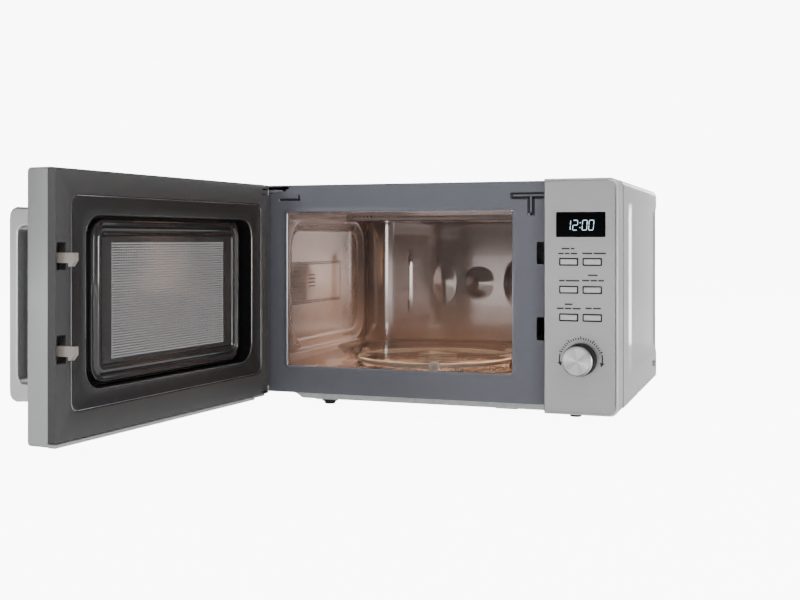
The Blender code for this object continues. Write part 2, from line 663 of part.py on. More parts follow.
def door_latch(door):
    """One sprung bar with two hooks that reach through the inner frame, and its spring."""
    latch_axis = empty("latch_axis", door)
    bar = block((0.3300, 0.3375), (0.0010, 0.0095), (0.080, 0.200))
    latch = add("door_latch", bar, "white_plastic", latch_axis)
    for low, high in LATCH_SLOTS_Z:
        middle = (low + high) / 2 - 0.001
        hook = [
            (0.0060, middle - 0.005),
            (0.0300, middle - 0.005),
            (0.0300, middle - 0.008),
            (0.0330, middle - 0.008),
            (0.0370, middle - 0.003),
            (0.0370, middle + 0.004),
            (0.0060, middle + 0.004),
        ]
        unite(latch, prism(hook, "YZ", 0.3345, 0.3395))
    spring = coil(0.0028, 0.00045, (0.3338, 0.0045), 0.2006, 0.2157, 5)
    add("latch_spring", spring, "zinc_steel", door)


def coil(radius, wire, centre, low, high, turns):
    """A closed helical wire about a vertical line."""
    bm = bmesh.new()
    around = 14
    rows = []
    last = turns * around
    for step in range(last + 1):
        angle = 2 * math.pi * step / around
        height = low + wire + (high - low - 2 * wire) * step / last
        ring = []
        for corner in range(5):
            turn = 2 * math.pi * corner / 5
            reach = radius + wire * math.cos(turn)
            x = centre[0] + reach * math.cos(angle)
            y = centre[1] + reach * math.sin(angle)
            ring.append(bm.verts.new((x, y, height + wire * math.sin(turn))))
        rows.append(ring)
    for first, second in zip(rows, rows[1:]):
        band(bm, first, second)
    bm.faces.new(rows[0])
    bm.faces.new(rows[-1])
    return bm


# Hinges


def hinges(body):
    """Two steel arms from behind the front plate, each with a pin that turns in a boss of the door."""
    place = (PIVOT_X, PIVOT_Y)
    for name, arm, side in (("upper", UPPER_ARM, -1), ("lower", LOWER_ARM, 1)):
        middle = arm + ARM_SHEET / 2
        width = (PIVOT_X - ARM_HALF, PIVOT_X + ARM_HALF)
        strip = block(width, (PIVOT_Y - 0.0057, 0.0028), (arm, arm + ARM_SHEET))
        bracket = add(f"{name}_hinge_bracket", strip, "zinc_steel", body)
        unite(bracket, block((-0.2150, -0.1730), (0.0013, 0.0028), sorted((middle, middle + side * 0.020))))
        cut(bracket, rod(PIN_RADIUS + GAP, "XY", place, arm - 0.002, arm + 0.004))
        head = middle - side * (ARM_SHEET / 2 + GAP)
        profile = [
            (0, head - side * 0.0012),
            (0.0034, head - side * 0.0012),
            (0.0034, head),
            (PIN_RADIUS, head),
            (PIN_RADIUS, middle + side * 0.0120),
            (0, middle + side * 0.0120),
        ]
        add(f"{name}_hinge_pin", turned(profile, "XY", place, 20), "zinc_steel", body)


# Component bay


def magnetron(body):
    """Waveguide on the cavity wall, the yoke with its two magnets, and the finned tube with its antenna."""
    wall = CAVITY_RIGHT + SHEET + GAP
    guide = add("waveguide", block((wall, 0.125), (0.104, 0.196), (0.118, 0.202)), "zinc_steel", body)
    cut(guide, block((wall - 0.001, 0.124), (0.105, 0.195), (0.119, 0.201)))
    cut(guide, rod(0.0125, "YZ", (MAGNETRON_Y, MAGNETRON_Z), 0.120, 0.127))
    cover = block((CAVITY_RIGHT - GAP - 0.0006, CAVITY_RIGHT - GAP), (0.102, 0.198), (0.122, 0.193))
    add("waveguide_cover", cover, "mica", body)
    place = (MAGNETRON_Y, MAGNETRON_Z)
    yoke = block((0.1253, 0.2070), (0.112, 0.188), (0.120, 0.200))
    yoke = add("magnetron_yoke", yoke, "zinc_steel", body)
    cut(yoke, block((0.1268, 0.2055), (0.111, 0.189), (0.1215, 0.1985)))
    unite(yoke, rod(0.026, "YZ", place, 0.1260, 0.1385))
    unite(yoke, rod(0.026, "YZ", place, 0.1925, 0.2060))
    cut(yoke, rod(0.0125, "YZ", place, 0.120, 0.140))
    profile = [(0, 0.109), (0.008, 0.109), (0.008, 0.1395), (0.018, 0.1395)]
    for fin in range(5):
        start = 0.1450 + fin * 0.0090
        profile += [(0.018, start), (0.034, start), (0.034, start + 0.0012), (0.018, start + 0.0012)]
    profile += [(0.018, 0.1915), (0, 0.1915)]
    add("magnetron_tube", turned(profile, "YZ", place, 16), "aluminium", body)


def power_supply(body):
    """High-voltage transformer and capacitor on the base."""
    floor = BASE_BOTTOM + SHEET + GAP
    core = block((0.120, 0.205), (0.070, 0.120), (floor, floor + 0.070))
    core = add("transformer_core", core, "lamination", body)
    for x in ((0.1345, 0.1545), (0.1705, 0.1905)):
        cut(core, block(x, (0.069, 0.121), (floor + 0.0165, floor + 0.0535)))
    outer = rounded((0.1350, 0.1900), (0.058, 0.132), [0.006] * 4, 3)
    inner = rounded((0.1540, 0.1710), (0.0695, 0.1205), [0.001] * 4, 3)
    waist = rounded((0.1370, 0.1880), (0.060, 0.130), [0.004] * 4, 3)
    loops = [(outer, 0.0170), (outer, 0.0335), (waist, 0.0335), (waist, 0.0350), (outer, 0.0350)]
    loops += [(outer, 0.0530), (inner, 0.0530), (inner, 0.0170)]
    loops = [(outline, floor + level) for outline, level in loops]
    add("transformer_windings", tube(loops, "XY"), "copper", body)
    outline = rounded((0.125, 0.177), (floor, floor + 0.034), [0.015] * 4)
    add("capacitor", prism(outline, "XZ", 0.150, 0.235), "aluminium", body)


def fan(body):
    """Shroud, motor on a strap, and a five-bladed fan on its shaft."""
    place = (FAN_X, FAN_Z)
    shroud = add("fan_shroud", block((0.108, 0.2165), (0.252, 0.2535), (0.110, 0.240)), "black_plastic", body)
    cut(shroud, rod(FAN_RADIUS + 0.003, "XZ", place, 0.250, 0.256, 24))
    strap = [(0.1125, 0.2525), (0.1141, 0.2525), (0.1141, 0.2396), (0.2119, 0.2396), (0.2119, 0.2525)]
    strap += [(0.2135, 0.2525), (0.2135, 0.2380), (0.1125, 0.2380)]
    unite(shroud, prism(strap, "XY", FAN_Z - 0.008, FAN_Z + 0.008))
    cut(shroud, rod(0.005, "XZ", place, 0.235, 0.242))
    motor = block((0.139, 0.187), (0.208, 0.2377), (FAN_Z - 0.022, FAN_Z + 0.022))
    motor = add("fan_motor", motor, "lamination", body)
    cut(motor, rod(0.0024, "XZ", place, 0.230, 0.240))
    fan_axis = empty("fan_axis", body, (FAN_X, 0, FAN_Z))
    profile = [(0, 0.232), (0.0018, 0.232), (0.0018, 0.258), (0.010, 0.258), (0.010, 0.278), (0, 0.278)]
    blades = add("fan_blade", turned(profile, "XZ", (0, 0), 20), "dark_plastic", fan_axis)
    for number in range(5):
        blade = block((0.008, FAN_RADIUS), (-0.0006, 0.0006), (-0.013, 0.013))
        tilt = Matrix.Rotation(math.radians(55), 4, "X")
        turn = Matrix.Rotation(math.radians(72 * number), 4, "Y")
        bmesh.ops.transform(blade, matrix=Matrix.Translation((0, 0.268, 0)) @ turn @ tilt, verts=blade.verts)
        unite(blades, blade)


def interlock(body):
    """A bracket beside the latch slots, with the three door switches clipped to it."""
    outline = [(0.1450, 0.0013), (0.1580, 0.0013), (0.1580, 0.0028), (0.1465, 0.0028)]
    outline += [(0.1465, 0.050), (0.1450, 0.050)]
    bracket = add("interlock_bracket", prism(outline, "XY", 0.066, 0.214), "white_plastic", body)
    for low in (0.172, 0.118, 0.090):
        unite(bracket, block((0.1345, 0.1452), (0.0200, 0.0400), (low, low + 0.016)))


def small_parts(body):
    """The cavity lamp with its holder, and the gland for the mains lead."""
    profile = [(0, 0.106), (0.004, 0.1065), (0.008, 0.110), (0.009, 0.117), (0.006, 0.127), (0.010, 0.127)]
    profile += [(0.010, 0.137), (0, 0.137)]
    add("cavity_lamp", turned(profile, "YZ", LAMP, 20), "clear_glass", body)
    profile = [(0.0045, 0.3040), (0.0078, 0.3040), (0.0078, 0.3082), (0.0115, 0.3082)]
    profile += [(0.0115, 0.3105), (0.0045, 0.3105)]
    add("cord_gland", turned(profile, "XZ", (0.185, 0.055), 24), "black_plastic", body)


def screws(body):
    """A screw head low on each side of the casing."""
    for name, side in (("left", -1), ("right", 1)):
        start = side * (BODY_HALF + GAP)
        head = rod(0.0038, "YZ", (0.284, 0.035), start, start + side * 0.0016, 12)
        add(f"casing_screw_{name}", head, "zinc_steel", body)


def stand_at_origin(body):
    """Moves the assembly so that the middle of its footprint is at the origin."""
    bpy.context.view_layer.update()
    corners = []
    for thing in bpy.context.scene.objects:
        if thing.type == "MESH" and not thing.hide_render:
            corners += [thing.matrix_world @ Vector(corner) for corner in thing.bound_box]
    for axis in (0, 1):
        values = [corner[axis] for corner in corners]
        body.location[axis] = -(min(values) + max(values)) / 2


def main():
    clear_scene()
    body = empty("oven", None)
    door = empty("door_axis", body, (PIVOT_X, PIVOT_Y, 0), -DOOR_OPEN)
    for make in (outer_casing, front_plate, rear_panel, base_plate, feet, cavity, grill):
        make(body)
    panel = (control_panel, display_window, control_board, buttons, knob)
    for make in (turntable, roller_ring, turntable_motor, *panel):
        make(body)
    for make in (door_bezel, door_glass, door_chassis, door_inner_frame, door_handle, door_latch):
        make(door)
    for make in (hinges, magnetron, power_supply, fan, interlock, small_parts, screws):
        make(body)
    stand_at_origin(body)


main()
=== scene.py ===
"""Looks of the microwave oven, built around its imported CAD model.

Lengths are in metres. Oven coordinates have X = 0 in the middle of the body, Y = 0 on the front surface of
the front plate and Z = 0 on the table. Door coordinates start at the hinge: x runs to the free edge and y
towards the body when the door is closed.
"""

import json
import math

import bmesh
import bpy
from mathutils import Matrix, Vector


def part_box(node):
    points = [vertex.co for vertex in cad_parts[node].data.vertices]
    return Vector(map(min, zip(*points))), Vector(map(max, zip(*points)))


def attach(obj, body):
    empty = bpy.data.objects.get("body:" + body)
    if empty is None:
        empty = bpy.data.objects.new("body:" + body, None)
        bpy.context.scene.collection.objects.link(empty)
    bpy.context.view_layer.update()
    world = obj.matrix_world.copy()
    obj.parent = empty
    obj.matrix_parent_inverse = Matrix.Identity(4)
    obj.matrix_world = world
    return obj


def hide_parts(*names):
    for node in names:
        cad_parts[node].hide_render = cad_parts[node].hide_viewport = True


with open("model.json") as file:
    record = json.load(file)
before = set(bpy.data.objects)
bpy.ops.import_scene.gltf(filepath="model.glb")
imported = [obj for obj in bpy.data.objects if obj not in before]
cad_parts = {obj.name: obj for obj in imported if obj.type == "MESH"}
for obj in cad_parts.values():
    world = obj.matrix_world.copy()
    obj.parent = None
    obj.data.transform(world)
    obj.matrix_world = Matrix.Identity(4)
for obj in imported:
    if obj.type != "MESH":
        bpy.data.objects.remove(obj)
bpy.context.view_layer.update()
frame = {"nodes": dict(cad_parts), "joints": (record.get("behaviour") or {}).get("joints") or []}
joints = {joint["name"]: joint for joint in frame["joints"]}

SHEET = 0.0008
LEAST_RADIUS = 0.0015
GAP = 0.0003
DOOR_REST = -95

# Body
BODY_HALF = 0.220
BODY_TOP = 0.258
BODY_BOTTOM = 0.017
BODY_DEPTH = 0.309
TOP_RADIUS = 0.008
PLATE_HALF = 0.2189
PLATE_TOP = 0.2569
PLATE_RADIUS = 0.0069
FOOT_HEIGHT = 0.0057

# Cavity
CAVITY_LEFT = -0.1685
CAVITY_RIGHT = 0.1021
CAVITY_FLOOR = 0.0410
CAVITY_TOP = 0.2265
CAVITY_BACK = 0.300
WALL_START = 0.0013
CORNER = 0.028
WALL_END = CAVITY_BACK - CORNER
MOUTH_Z = (0.0474, 0.2267)
TURN = (-0.033, 0.150)
TRAY_Z = 0.0536
DOME_Z = 0.135
BEAD_X = (-0.1205, -0.1143)
ROLLER_ANGLES = (-74, 46, 166)
ROLLER_CIRCLE = 0.1075
ROLLER_RADIUS = 0.006
ROLLER_Z = CAVITY_FLOOR + GAP + ROLLER_RADIUS

# Control panel
PANEL_FACE = -0.0340
DISPLAY_X = (0.1558, 0.2071)
DISPLAY_Z = (0.197, 0.223)
BUTTON_COLUMNS = {"left": 0.16905, "right": 0.19345}
BUTTON_ROWS = {"top": 0.1714, "middle": 0.1425, "bottom": 0.1138}
BUTTON_HALF = (0.0097, 0.00375)
KNOB = (0.1817, 0.0708)
# Angle of the brightest painted highlight sector on the knob's face.
HIGHLIGHT_SECTOR_ANGLE = 163
TICK_START = 0.0202

# Door
DOOR_X = (-0.014, 0.3466)
DOOR_OUTER = -0.0102
HANDLE_X = (0.313, 0.330)
DOOR_INNER = 0.0218
FRAME_BACK = 0.0138
EDGE_RADIUS = 0.008
CHOKE = ((0.0225, 0.302), (0.0578, 0.2168), 0.020)
STEP = ((0.006, 0.326), (0.041, 0.2352), 0.010)
PLATEAU = ((0.0372, 0.2873), (0.0612, 0.2140), 0.0185)
PLATEAU_RIM = 0.0172
MESH_X = (0.0675, 0.2570)
MESH_Z = (0.0820, 0.1920)
MESH_PITCH = 0.0025
PLATEAU_LEVEL = 0.0114
LATCH_SLOTS_Z = ((0.086, 0.111), (0.168, 0.192))
HINGE_ARMS = (0.2487, 0.0218)

plate_low, plate_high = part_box("front_plate")
OVEN = Matrix.Translation(((plate_low.x + plate_high.x) / 2, plate_low.y, 0))
pivot = joints["door_hinge"]["pos_m"]
DOOR = Matrix.Translation((pivot[0], pivot[1], 0)) @ Matrix.Rotation(math.radians(DOOR_REST), 4, "Z")

PLANES = {
    "XY": lambda a, b, c: (a, b, c),
    "XZ": lambda a, b, c: (a, c, b),
    "YZ": lambda a, b, c: (c, a, b),
}


# Materials


def linked(tree, kind, inputs=(), socket=0, **settings):
    """An output of a new shader node. Each input goes by its name: a socket is linked and a value is set."""
    made = tree.nodes.new("ShaderNode" + kind)
    for key, value in settings.items():
        setattr(made, key, value)
    for key, value in dict(inputs).items():
        if isinstance(value, bpy.types.NodeSocket):
            tree.links.new(value, made.inputs[key])
        else:
            made.inputs[key].default_value = value
    return made.outputs[socket]


FINISHES = {}


def new_finish(name):
    made = bpy.data.materials.new(name)
    made.use_nodes = True
    FINISHES[name] = made
    return made


def material(
    name, colour, roughness, metallic=0, grain=60, vary=0.08, stretch=(1, 1, 1), bump=0.05, fine=900, **inputs
):
    """A procedural finish: patches of slightly different colour and roughness, and a fine surface grain."""
    made = new_finish(name)
    tree = made.node_tree
    shader = tree.nodes["Principled BSDF"]
    shader.inputs["Metallic"].default_value = metallic
    for key, value in inputs.items():
        shader.inputs[key.replace("_", " ").title().replace("Ior", "IOR")].default_value = value
    place = linked(tree, "TexCoord", socket="Object")
    place = linked(tree, "Mapping", {"Vector": place, "Scale": stretch})
    patches = linked(tree, "TexNoise", {"Vector": place, "Scale": grain, "Detail": 4.0})
    specks = linked(tree, "TexNoise", {"Vector": place, "Scale": fine, "Detail": 2.0})
    both = linked(tree, "Math", {0: patches, 1: specks}, operation="ADD")
    span = {"Value": both, "From Min": 0.7, "From Max": 1.3}
    shade = linked(tree, "MapRange", {**span, "To Min": 1 - vary, "To Max": 1 + vary})
    tint = linked(tree, "VectorMath", {0: colour, "Scale": shade}, operation="SCALE")
    rough = linked(tree, "MapRange", {**span, "To Min": roughness * 0.95, "To Max": roughness * 1.05})
    grained = linked(tree, "Bump", {"Height": specks, "Strength": bump, "Distance": 0.0003})
    for key, socket in (("Base Color", tint), ("Roughness", rough), ("Normal", grained)):
        tree.links.new(socket, shader.inputs[key])
    return made


material("casing_paint", (0.26, 0.26, 0.262), 0.14, 0.1, vary=0.02, bump=0.0)
material("plate_paint", (0.140, 0.146, 0.172), 0.42, 0.2, vary=0.04, bump=0.02)
material("cavity_enamel", (0.225, 0.180, 0.165), 0.10, 0.42, coat_weight=0.5, vary=0.05, fine=500, bump=0.01)
material("zinc_steel", (0.40, 0.405, 0.41), 0.38, 0.9, grain=140, vary=0.16)
material("brushed_steel", (0.40, 0.40, 0.404), 0.34, 0.8, 14, 0.06, (0.03, 1, 1), 0.10, 1800)
material("silver_plastic", (0.46, 0.465, 0.475), 0.30, 0.35, coat_weight=0.2, vary=0.012, bump=0.01)
material("dark_plastic", (0.056, 0.056, 0.057), 0.45, fine=1500, bump=0.08, vary=0.05)
# A darker copy of the door's dark plastic for its crowned slope: painted shade.
material(
    "slope_painted_shade", (0.020, 0.020, 0.021), 0.42, fine=1500, bump=0.08, vary=0.05, specular_ior_level=0.35
)
material("mesh_paint", (0.045, 0.045, 0.046), 0.7, fine=1200, vary=0.05, bump=0.02, specular_ior_level=0.15)
material("black_plastic", (0.006, 0.006, 0.006), 0.55, fine=1500, bump=0.1, specular_ior_level=0.1)
material("white_plastic", (0.42, 0.38, 0.34), 0.3)
material(
    "screen_paint", (0.024, 0.025, 0.027), 0.22, 0.1, fine=1200, vary=0.05, bump=0.02, coat_weight=0.8,
    specular_ior_level=0.3
)
material("smoked_glass", (0.012, 0.012, 0.013), 0.05, alpha=0.74, vary=0.02, bump=0.0, ior=1.5)
material("mica", (0.66, 0.61, 0.55), 0.55, grain=200, vary=0.1, bump=0.1)
material("quartz", (0.82, 0.80, 0.77), 0.15, vary=0.03)
material("copper", (0.72, 0.30, 0.14), 0.3, 1.0, 30, 0.15, (1, 1, 30))
material("lamination", (0.17, 0.16, 0.16), 0.5, 0.8, 30, 0.25, (1, 1, 40))
material("aluminium", (0.68, 0.69, 0.70), 0.24, 1.0, 14, 0.1, bump=0.05)
material("circuit_board", (0.03, 0.15, 0.06), 0.4, 0, 300, 0.25, bump=0.2)
material("rubber", (0.014, 0.014, 0.015), 0.75, bump=0.3)
material("display_glass", (0.001, 0.001, 0.0015), 0.12, vary=0.02, bump=0.0, specular_ior_level=0.08)
material("key_collar", (0.022, 0.022, 0.023), 0.5, specular_ior_level=0.2)
material("key_cap", (0.72, 0.72, 0.72), 0.36, 0.1)
material("print_ink", (0.055, 0.055, 0.057), 0.6, specular_ior_level=0.1)
material("plate_shadow", (0.016, 0.017, 0.020), 0.6, specular_ior_level=0.2)
# Near-black for what is seen through openings: painted shade.
material("opening_painted_shade", (0.006, 0.006, 0.007), 0.7)
# Near-white for the thin rim around the control face: painted highlight.
material("rim_painted_highlight", (0.86, 0.86, 0.87), 0.22, 0.3, vary=0.02, bump=0.01, coat_weight=0.3)
# A light metal for the thin line on the door's hinge edge: painted highlight.
material("line_painted_highlight", (0.62, 0.62, 0.63), 0.25, 0.6, vary=0.03, bump=0.01)
# A lighter, shinier paint for thin rounded lips and beads: painted highlight.
material("edge_painted_highlight", (0.30, 0.31, 0.34), 0.14, 0.7, vary=0.03, bump=0.01, coat_weight=0.5)
# Near-black for the choke's wall and the step's groove: painted shade of the deep channel and the groove.
material("channel_painted_shade", (0.004, 0.004, 0.004), 0.6, vary=0.05, bump=0.05, specular_ior_level=0.15)
material("brushed_upright", (0.52, 0.52, 0.525), 0.30, 0.95, 14, 0.06, (1, 1, 0.03), 0.16, 1800)
material("display_light", (0.5, 0.6, 0.7), 0.4, emission_color=(0.55, 0.82, 1.0, 1), emission_strength=1.9)


def pane(name, tint, roughness, bend, mirror):
    """Thin glass: light goes straight through, and more of it is mirrored towards grazing angles."""
    tree = new_finish(name).node_tree
    tree.nodes.remove(tree.nodes["Principled BSDF"])
    place = linked(tree, "TexCoord", socket="Object")
    smear = linked(tree, "TexNoise", {"Vector": place, "Scale": 35.0, "Detail": 3.0})
    rough = linked(tree, "MapRange", {"Value": smear, "To Min": roughness * 0.6, "To Max": roughness * 1.6})
    share = linked(tree, "Fresnel", {"IOR": bend})
    share = linked(tree, "Math", {0: share, 1: mirror}, operation="MULTIPLY")
    clear = linked(tree, "BsdfTransparent", {"Color": (*tint, 1)})
    gloss = linked(tree, "BsdfGlossy", {"Color": (0.95, 0.97, 0.97, 1), "Roughness": rough})
    mixed = linked(tree, "MixShader", {0: share, 1: clear, 2: gloss})
    tree.links.new(mixed, tree.nodes["Material Output"].inputs["Surface"])


pane("clear_glass", (0.995, 0.995, 0.99), 0.03, 1.5, 0.65)
pane("clear_film", (0.97, 0.97, 0.97), 0.14, 1.35, 0.12)


def circular_brushing(made):
    """Turns the direction of a stretched reflection around the local Y axis, as fine turned rings do."""
    tree = made.node_tree
    tangent = linked(tree, "Tangent", direction_type="RADIAL", axis="Y")
    tree.links.new(tangent, tree.nodes["Principled BSDF"].inputs["Tangent"])


def painted_highlight_sectors(made):
    """Painted highlights: lighter and darker sectors around the local Y axis, painted into the base colour
    where turned metal shows its reflections.
    """
    tree = made.node_tree
    shader = tree.nodes["Principled BSDF"]
    place = linked(tree, "TexCoord", socket="Object")
    split = linked(tree, "SeparateXYZ", {"Vector": place}).node.outputs

    def calculated(operation, *values):
        return linked(tree, "Math", enumerate(values), operation=operation)

    turn = calculated("ARCTAN2", split["Z"], split["X"])
    # Brightness from cosines of the angle: the painted highlight.
    total = 0.86
    for count, size in ((2.0, 0.16), (4.0, 0.15), (10.0, 0.03)):
        angle = calculated("MULTIPLY_ADD", turn, count, -count * math.radians(HIGHLIGHT_SECTOR_ANGLE))
        total = calculated("MULTIPLY_ADD", calculated("COSINE", angle), size, total)
    base = shader.inputs["Base Color"].links[0].from_socket
    tint = linked(tree, "VectorMath", {0: base, "Scale": total}, operation="SCALE")
    tree.links.new(tint, shader.inputs["Base Color"])


# The knob's metal, with sectors of painted highlight in its colour.
turned_metal = material("knob_metal", (0.56, 0.56, 0.565), 0.22, 1.0, bump=0.02, vary=0.04, anisotropic=0.85)
circular_brushing(turned_metal)
painted_highlight_sectors(turned_metal)


# Making pieces


def in_scene(name, data):
    made = bpy.data.objects.new(name, data)
    bpy.context.scene.collection.objects.link(made)
    return made


def mesh_object(name, bm):
    mesh = bpy.data.meshes.new(name)
    bm.to_mesh(mesh)
    bm.free()
    return in_scene(name, mesh)


def soften(made, width, steps, angle):
    """Rounds every edge that is sharper than an angle, and gives the modifier."""
    edge = made.modifiers.new("soft_edges", "BEVEL")
    edge.width = width
    edge.segments = steps
    edge.limit_method = "ANGLE"
    edge.angle_limit = math.radians(angle)
    return edge


def piece(name, bm, finish, body="oven", place=OVEN, stands_for=(), slot=None, sharp=32, bevel=0.0, steps=2):
    """An object from a bmesh given in oven or door coordinates, riding on a body of the frame."""
    bmesh.ops.recalc_face_normals(bm, faces=bm.faces)
    made = mesh_object(name, bm)
    made.data.shade_smooth()
    made.data.set_sharp_from_angle(angle=math.radians(sharp))
    made.data.materials.append(FINISHES[finish])
    made.matrix_world = place
    if bevel:
        soften(made, bevel, steps, 35).harden_normals = True
    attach(made, body)
    if stands_for:
        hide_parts(*stands_for)
    return made


def band(bm, first, second):
    for index in range(len(first)):
        bm.faces.new((first[index - 1], first[index], second[index], second[index - 1]))


def arc(centre, radius, start, end, steps=6):
    points = []
    for step in range(steps + 1):
        angle = math.radians(start + (end - start) * step / steps)
        points.append((centre[0] + radius * math.cos(angle), centre[1] + radius * math.sin(angle)))
    return points


def rounded(a, b, radius, steps=6):
    """A rectangle between two pairs of limits, with one radius for all corners or four, anticlockwise."""
    radii = radius if isinstance(radius, (tuple, list)) else (radius,) * 4
    corners = ((a[0], b[0], 180), (a[1], b[0], 270), (a[1], b[1], 0), (a[0], b[1], 90))
    points = []
    for (corner_a, corner_b, start), corner_radius in zip(corners, radii):
        centre_a = corner_a + corner_radius * (1 if corner_a == a[0] else -1)
        centre_b = corner_b + corner_radius * (1 if corner_b == b[0] else -1)
        points += arc((centre_a, centre_b), corner_radius, start, start + 90, steps)
    return points


def grown(x, z, radius, rows, steps=8):
    """Loops that grow and shrink a rounded rectangle: each row is a growth and a level."""
    loops = []
    for growth, level in rows:
        limits = ((x[0] - growth, x[1] + growth), (z[0] - growth, z[1] + growth))
        loops.append((rounded(*limits, max(LEAST_RADIUS, radius + growth), steps), level))
    return loops


def rows_of(bm, loops, plane):
    return [[bm.verts.new(PLANES[plane](a, b, level)) for a, b in outline] for outline, level in loops]


def tube(loops, plane, bm=None):
    """A ring-shaped solid: each loop is an outline and its position on the third axis."""
    bm = bm or bmesh.new()
    rows = rows_of(bm, loops, plane)
    for index in range(len(rows)):
        band(bm, rows[index - 1], rows[index])
    return bm


def stack(loops, plane, bm=None):
    """A solid closed at both ends."""
    bm = bm or bmesh.new()
    rows = rows_of(bm, loops, plane)
    for first, second in zip(rows, rows[1:]):
        band(bm, first, second)
    bm.faces.new(rows[0])
    bm.faces.new(rows[-1])
    return bm


def prism(outline, ends, bm=None, plane="XZ"):
    """An outline pulled from one position to another along the third axis."""
    return stack([(outline, end) for end in ends], plane, bm)


def raised(profile, level):
    return [(radius, level + height) for radius, height in profile]


def block(x, y, z, bm=None, radius=0.0):
    outline = rounded(x, z, radius, 3) if radius else [(x[0], z[0]), (x[1], z[0]), (x[1], z[1]), (x[0], z[1])]
    return prism(outline, y, bm)


def turned(profile, plane, centre=(0, 0), steps=64, bm=None, flutes=0, depth=0.0):
    """A profile of (radius, height) turned about the third axis. Flutes make its widest part wavy."""
    bm = bm or bmesh.new()
    fluted = 0.93 * max(radius for radius, _ in profile)
    rows = []
    for radius, height in profile:
        if radius == 0:
            rows.append([bm.verts.new(PLANES[plane](*centre, height))])
            continue
        wave = depth if radius > fluted else 0
        ring = []
        for step in range(steps):
            angle = 2 * math.pi * step / steps
            reach = radius - wave * (0.5 - 0.5 * math.cos(flutes * angle))
            a, b = centre[0] + reach * math.cos(angle), centre[1] + reach * math.sin(angle)
            ring.append(bm.verts.new(PLANES[plane](a, b, height)))
        rows.append(ring)
    pairs = list(zip(rows, rows[1:]))
    if profile[0][0] and profile[-1][0]:
        pairs.append((rows[-1], rows[0]))
    for first, second in pairs:
        if len(first) == 1 or len(second) == 1:
            tip, ring = (first[0], second) if len(first) == 1 else (second[0], first)
            for index in range(len(ring)):
                bm.faces.new((tip, ring[index - 1], ring[index]))
        else:
            band(bm, first, second)
    return bm


def smooth_step(value):
    value = max(0.0, min(1.0, value))
    return value * value * (3 - 2 * value)


def distance(u, v, shape):
    """Signed distance from a point to a rectangle (u0, u1, v0, v1, corner radius); negative inside."""
    middle_u, middle_v = (shape[0] + shape[1]) / 2, (shape[2] + shape[3]) / 2
    radius = shape[4]
    over_u = abs(u - middle_u) - (shape[1] - shape[0]) / 2 + radius
    over_v = abs(v - middle_v) - (shape[3] - shape[2]) / 2 + radius
    return math.hypot(max(over_u, 0), max(over_v, 0)) + min(max(over_u, over_v), 0) - radius


def pressing(u, v, shape, depth, slope):
    """Depth of a pressed shape at a point: full inside, none outside, and a smooth slope in between."""
    return depth * smooth_step(0.5 - distance(u, v, shape) / slope)


def edges(shapes, axis):
    """Both limits on one axis, 0 or 1, of every shape in a list."""
    return [edge for shape in shapes for edge in shape[2 * axis : 2 * axis + 2]]


def spaced(low, high, step, *extra):
    """Grid lines at an even spacing, and through the given places."""
    count = max(1, round((high - low) / step))
    fixed = sorted({low, high, *[place for place in extra if low < place < high]})
    lines = {low + (high - low) * index / count for index in range(count + 1)}
    kept = [line for line in lines if all(abs(line - place) > step * 0.35 for place in fixed)]
    return sorted(kept + fixed)


def sheet(us, vs, place, press=None, openings=(), holes=None, thickness=SHEET, bm=None):
    """Pressed sheet metal on a grid. place(u, v, h) gives the point h behind the visible surface, press(u, v)
    how far it is pushed back there. openings are (u0, u1, v0, v1, radius) cut-outs. holes(u, v) gives a round
    hole's radius for the cell around that point, or 0."""
    bm = bm or bmesh.new()
    press = press or (lambda u, v: 0.0)
    wide, tall = len(us) - 1, len(vs) - 1
    mids = [[((us[i] + us[i + 1]) / 2, (vs[j] + vs[j + 1]) / 2) for j in range(tall)] for i in range(wide)]
    gone = [[any(distance(*mid, shape) < 0 for shape in openings) for mid in column] for column in mids]

    def open_at(i, j):
        return not (0 <= i < wide and 0 <= j < tall) or gone[i][j]

    def snapped(i, j):
        """The grid point, pulled onto the outline of an opening that it borders."""
        u, v = us[i], vs[j]
        around = {open_at(i - a, j - b) for a in (0, 1) for b in (0, 1)}
        if len(around) < 2 or not openings:
            return u, v
        shape = min(openings, key=lambda item: abs(distance(u, v, item)))
        away, tiny = distance(u, v, shape), 1e-6
        if abs(away) > 0.004:
            return u, v
        slope_u = (distance(u + tiny, v, shape) - away) / tiny
        slope_v = (distance(u, v + tiny, shape) - away) / tiny
        return u - away * slope_u, v - away * slope_v

    layers = []
    for layer in (0, 1):
        layers.append({})
        for i in range(wide + 1):
            for j in range(tall + 1):
                if all(open_at(i - a, j - b) for a in (0, 1) for b in (0, 1)):
                    continue
                u, v = snapped(i, j)
                layers[layer][i, j] = bm.verts.new(place(u, v, press(u, v) + layer * thickness))
    front, back = layers
    for i in range(wide):
        for j in range(tall):
            if gone[i][j]:
                continue
            corners = [(i, j), (i + 1, j), (i + 1, j + 1), (i, j + 1)]
            radius = holes(*mids[i][j]) if holes else 0
            if radius:
                pierced(bm, place, press, thickness, mids[i][j], radius, front, back, corners)
            else:
                bm.faces.new([front[c] for c in corners])
                bm.faces.new([back[c] for c in reversed(corners)])
            for side, (a, b) in enumerate(((0, -1), (1, 0), (0, 1), (-1, 0))):
                if open_at(i + a, j + b):
                    first, second = corners[side], corners[(side + 1) % 4]
                    bm.faces.new((front[second], front[first], back[first], back[second]))
    return bm


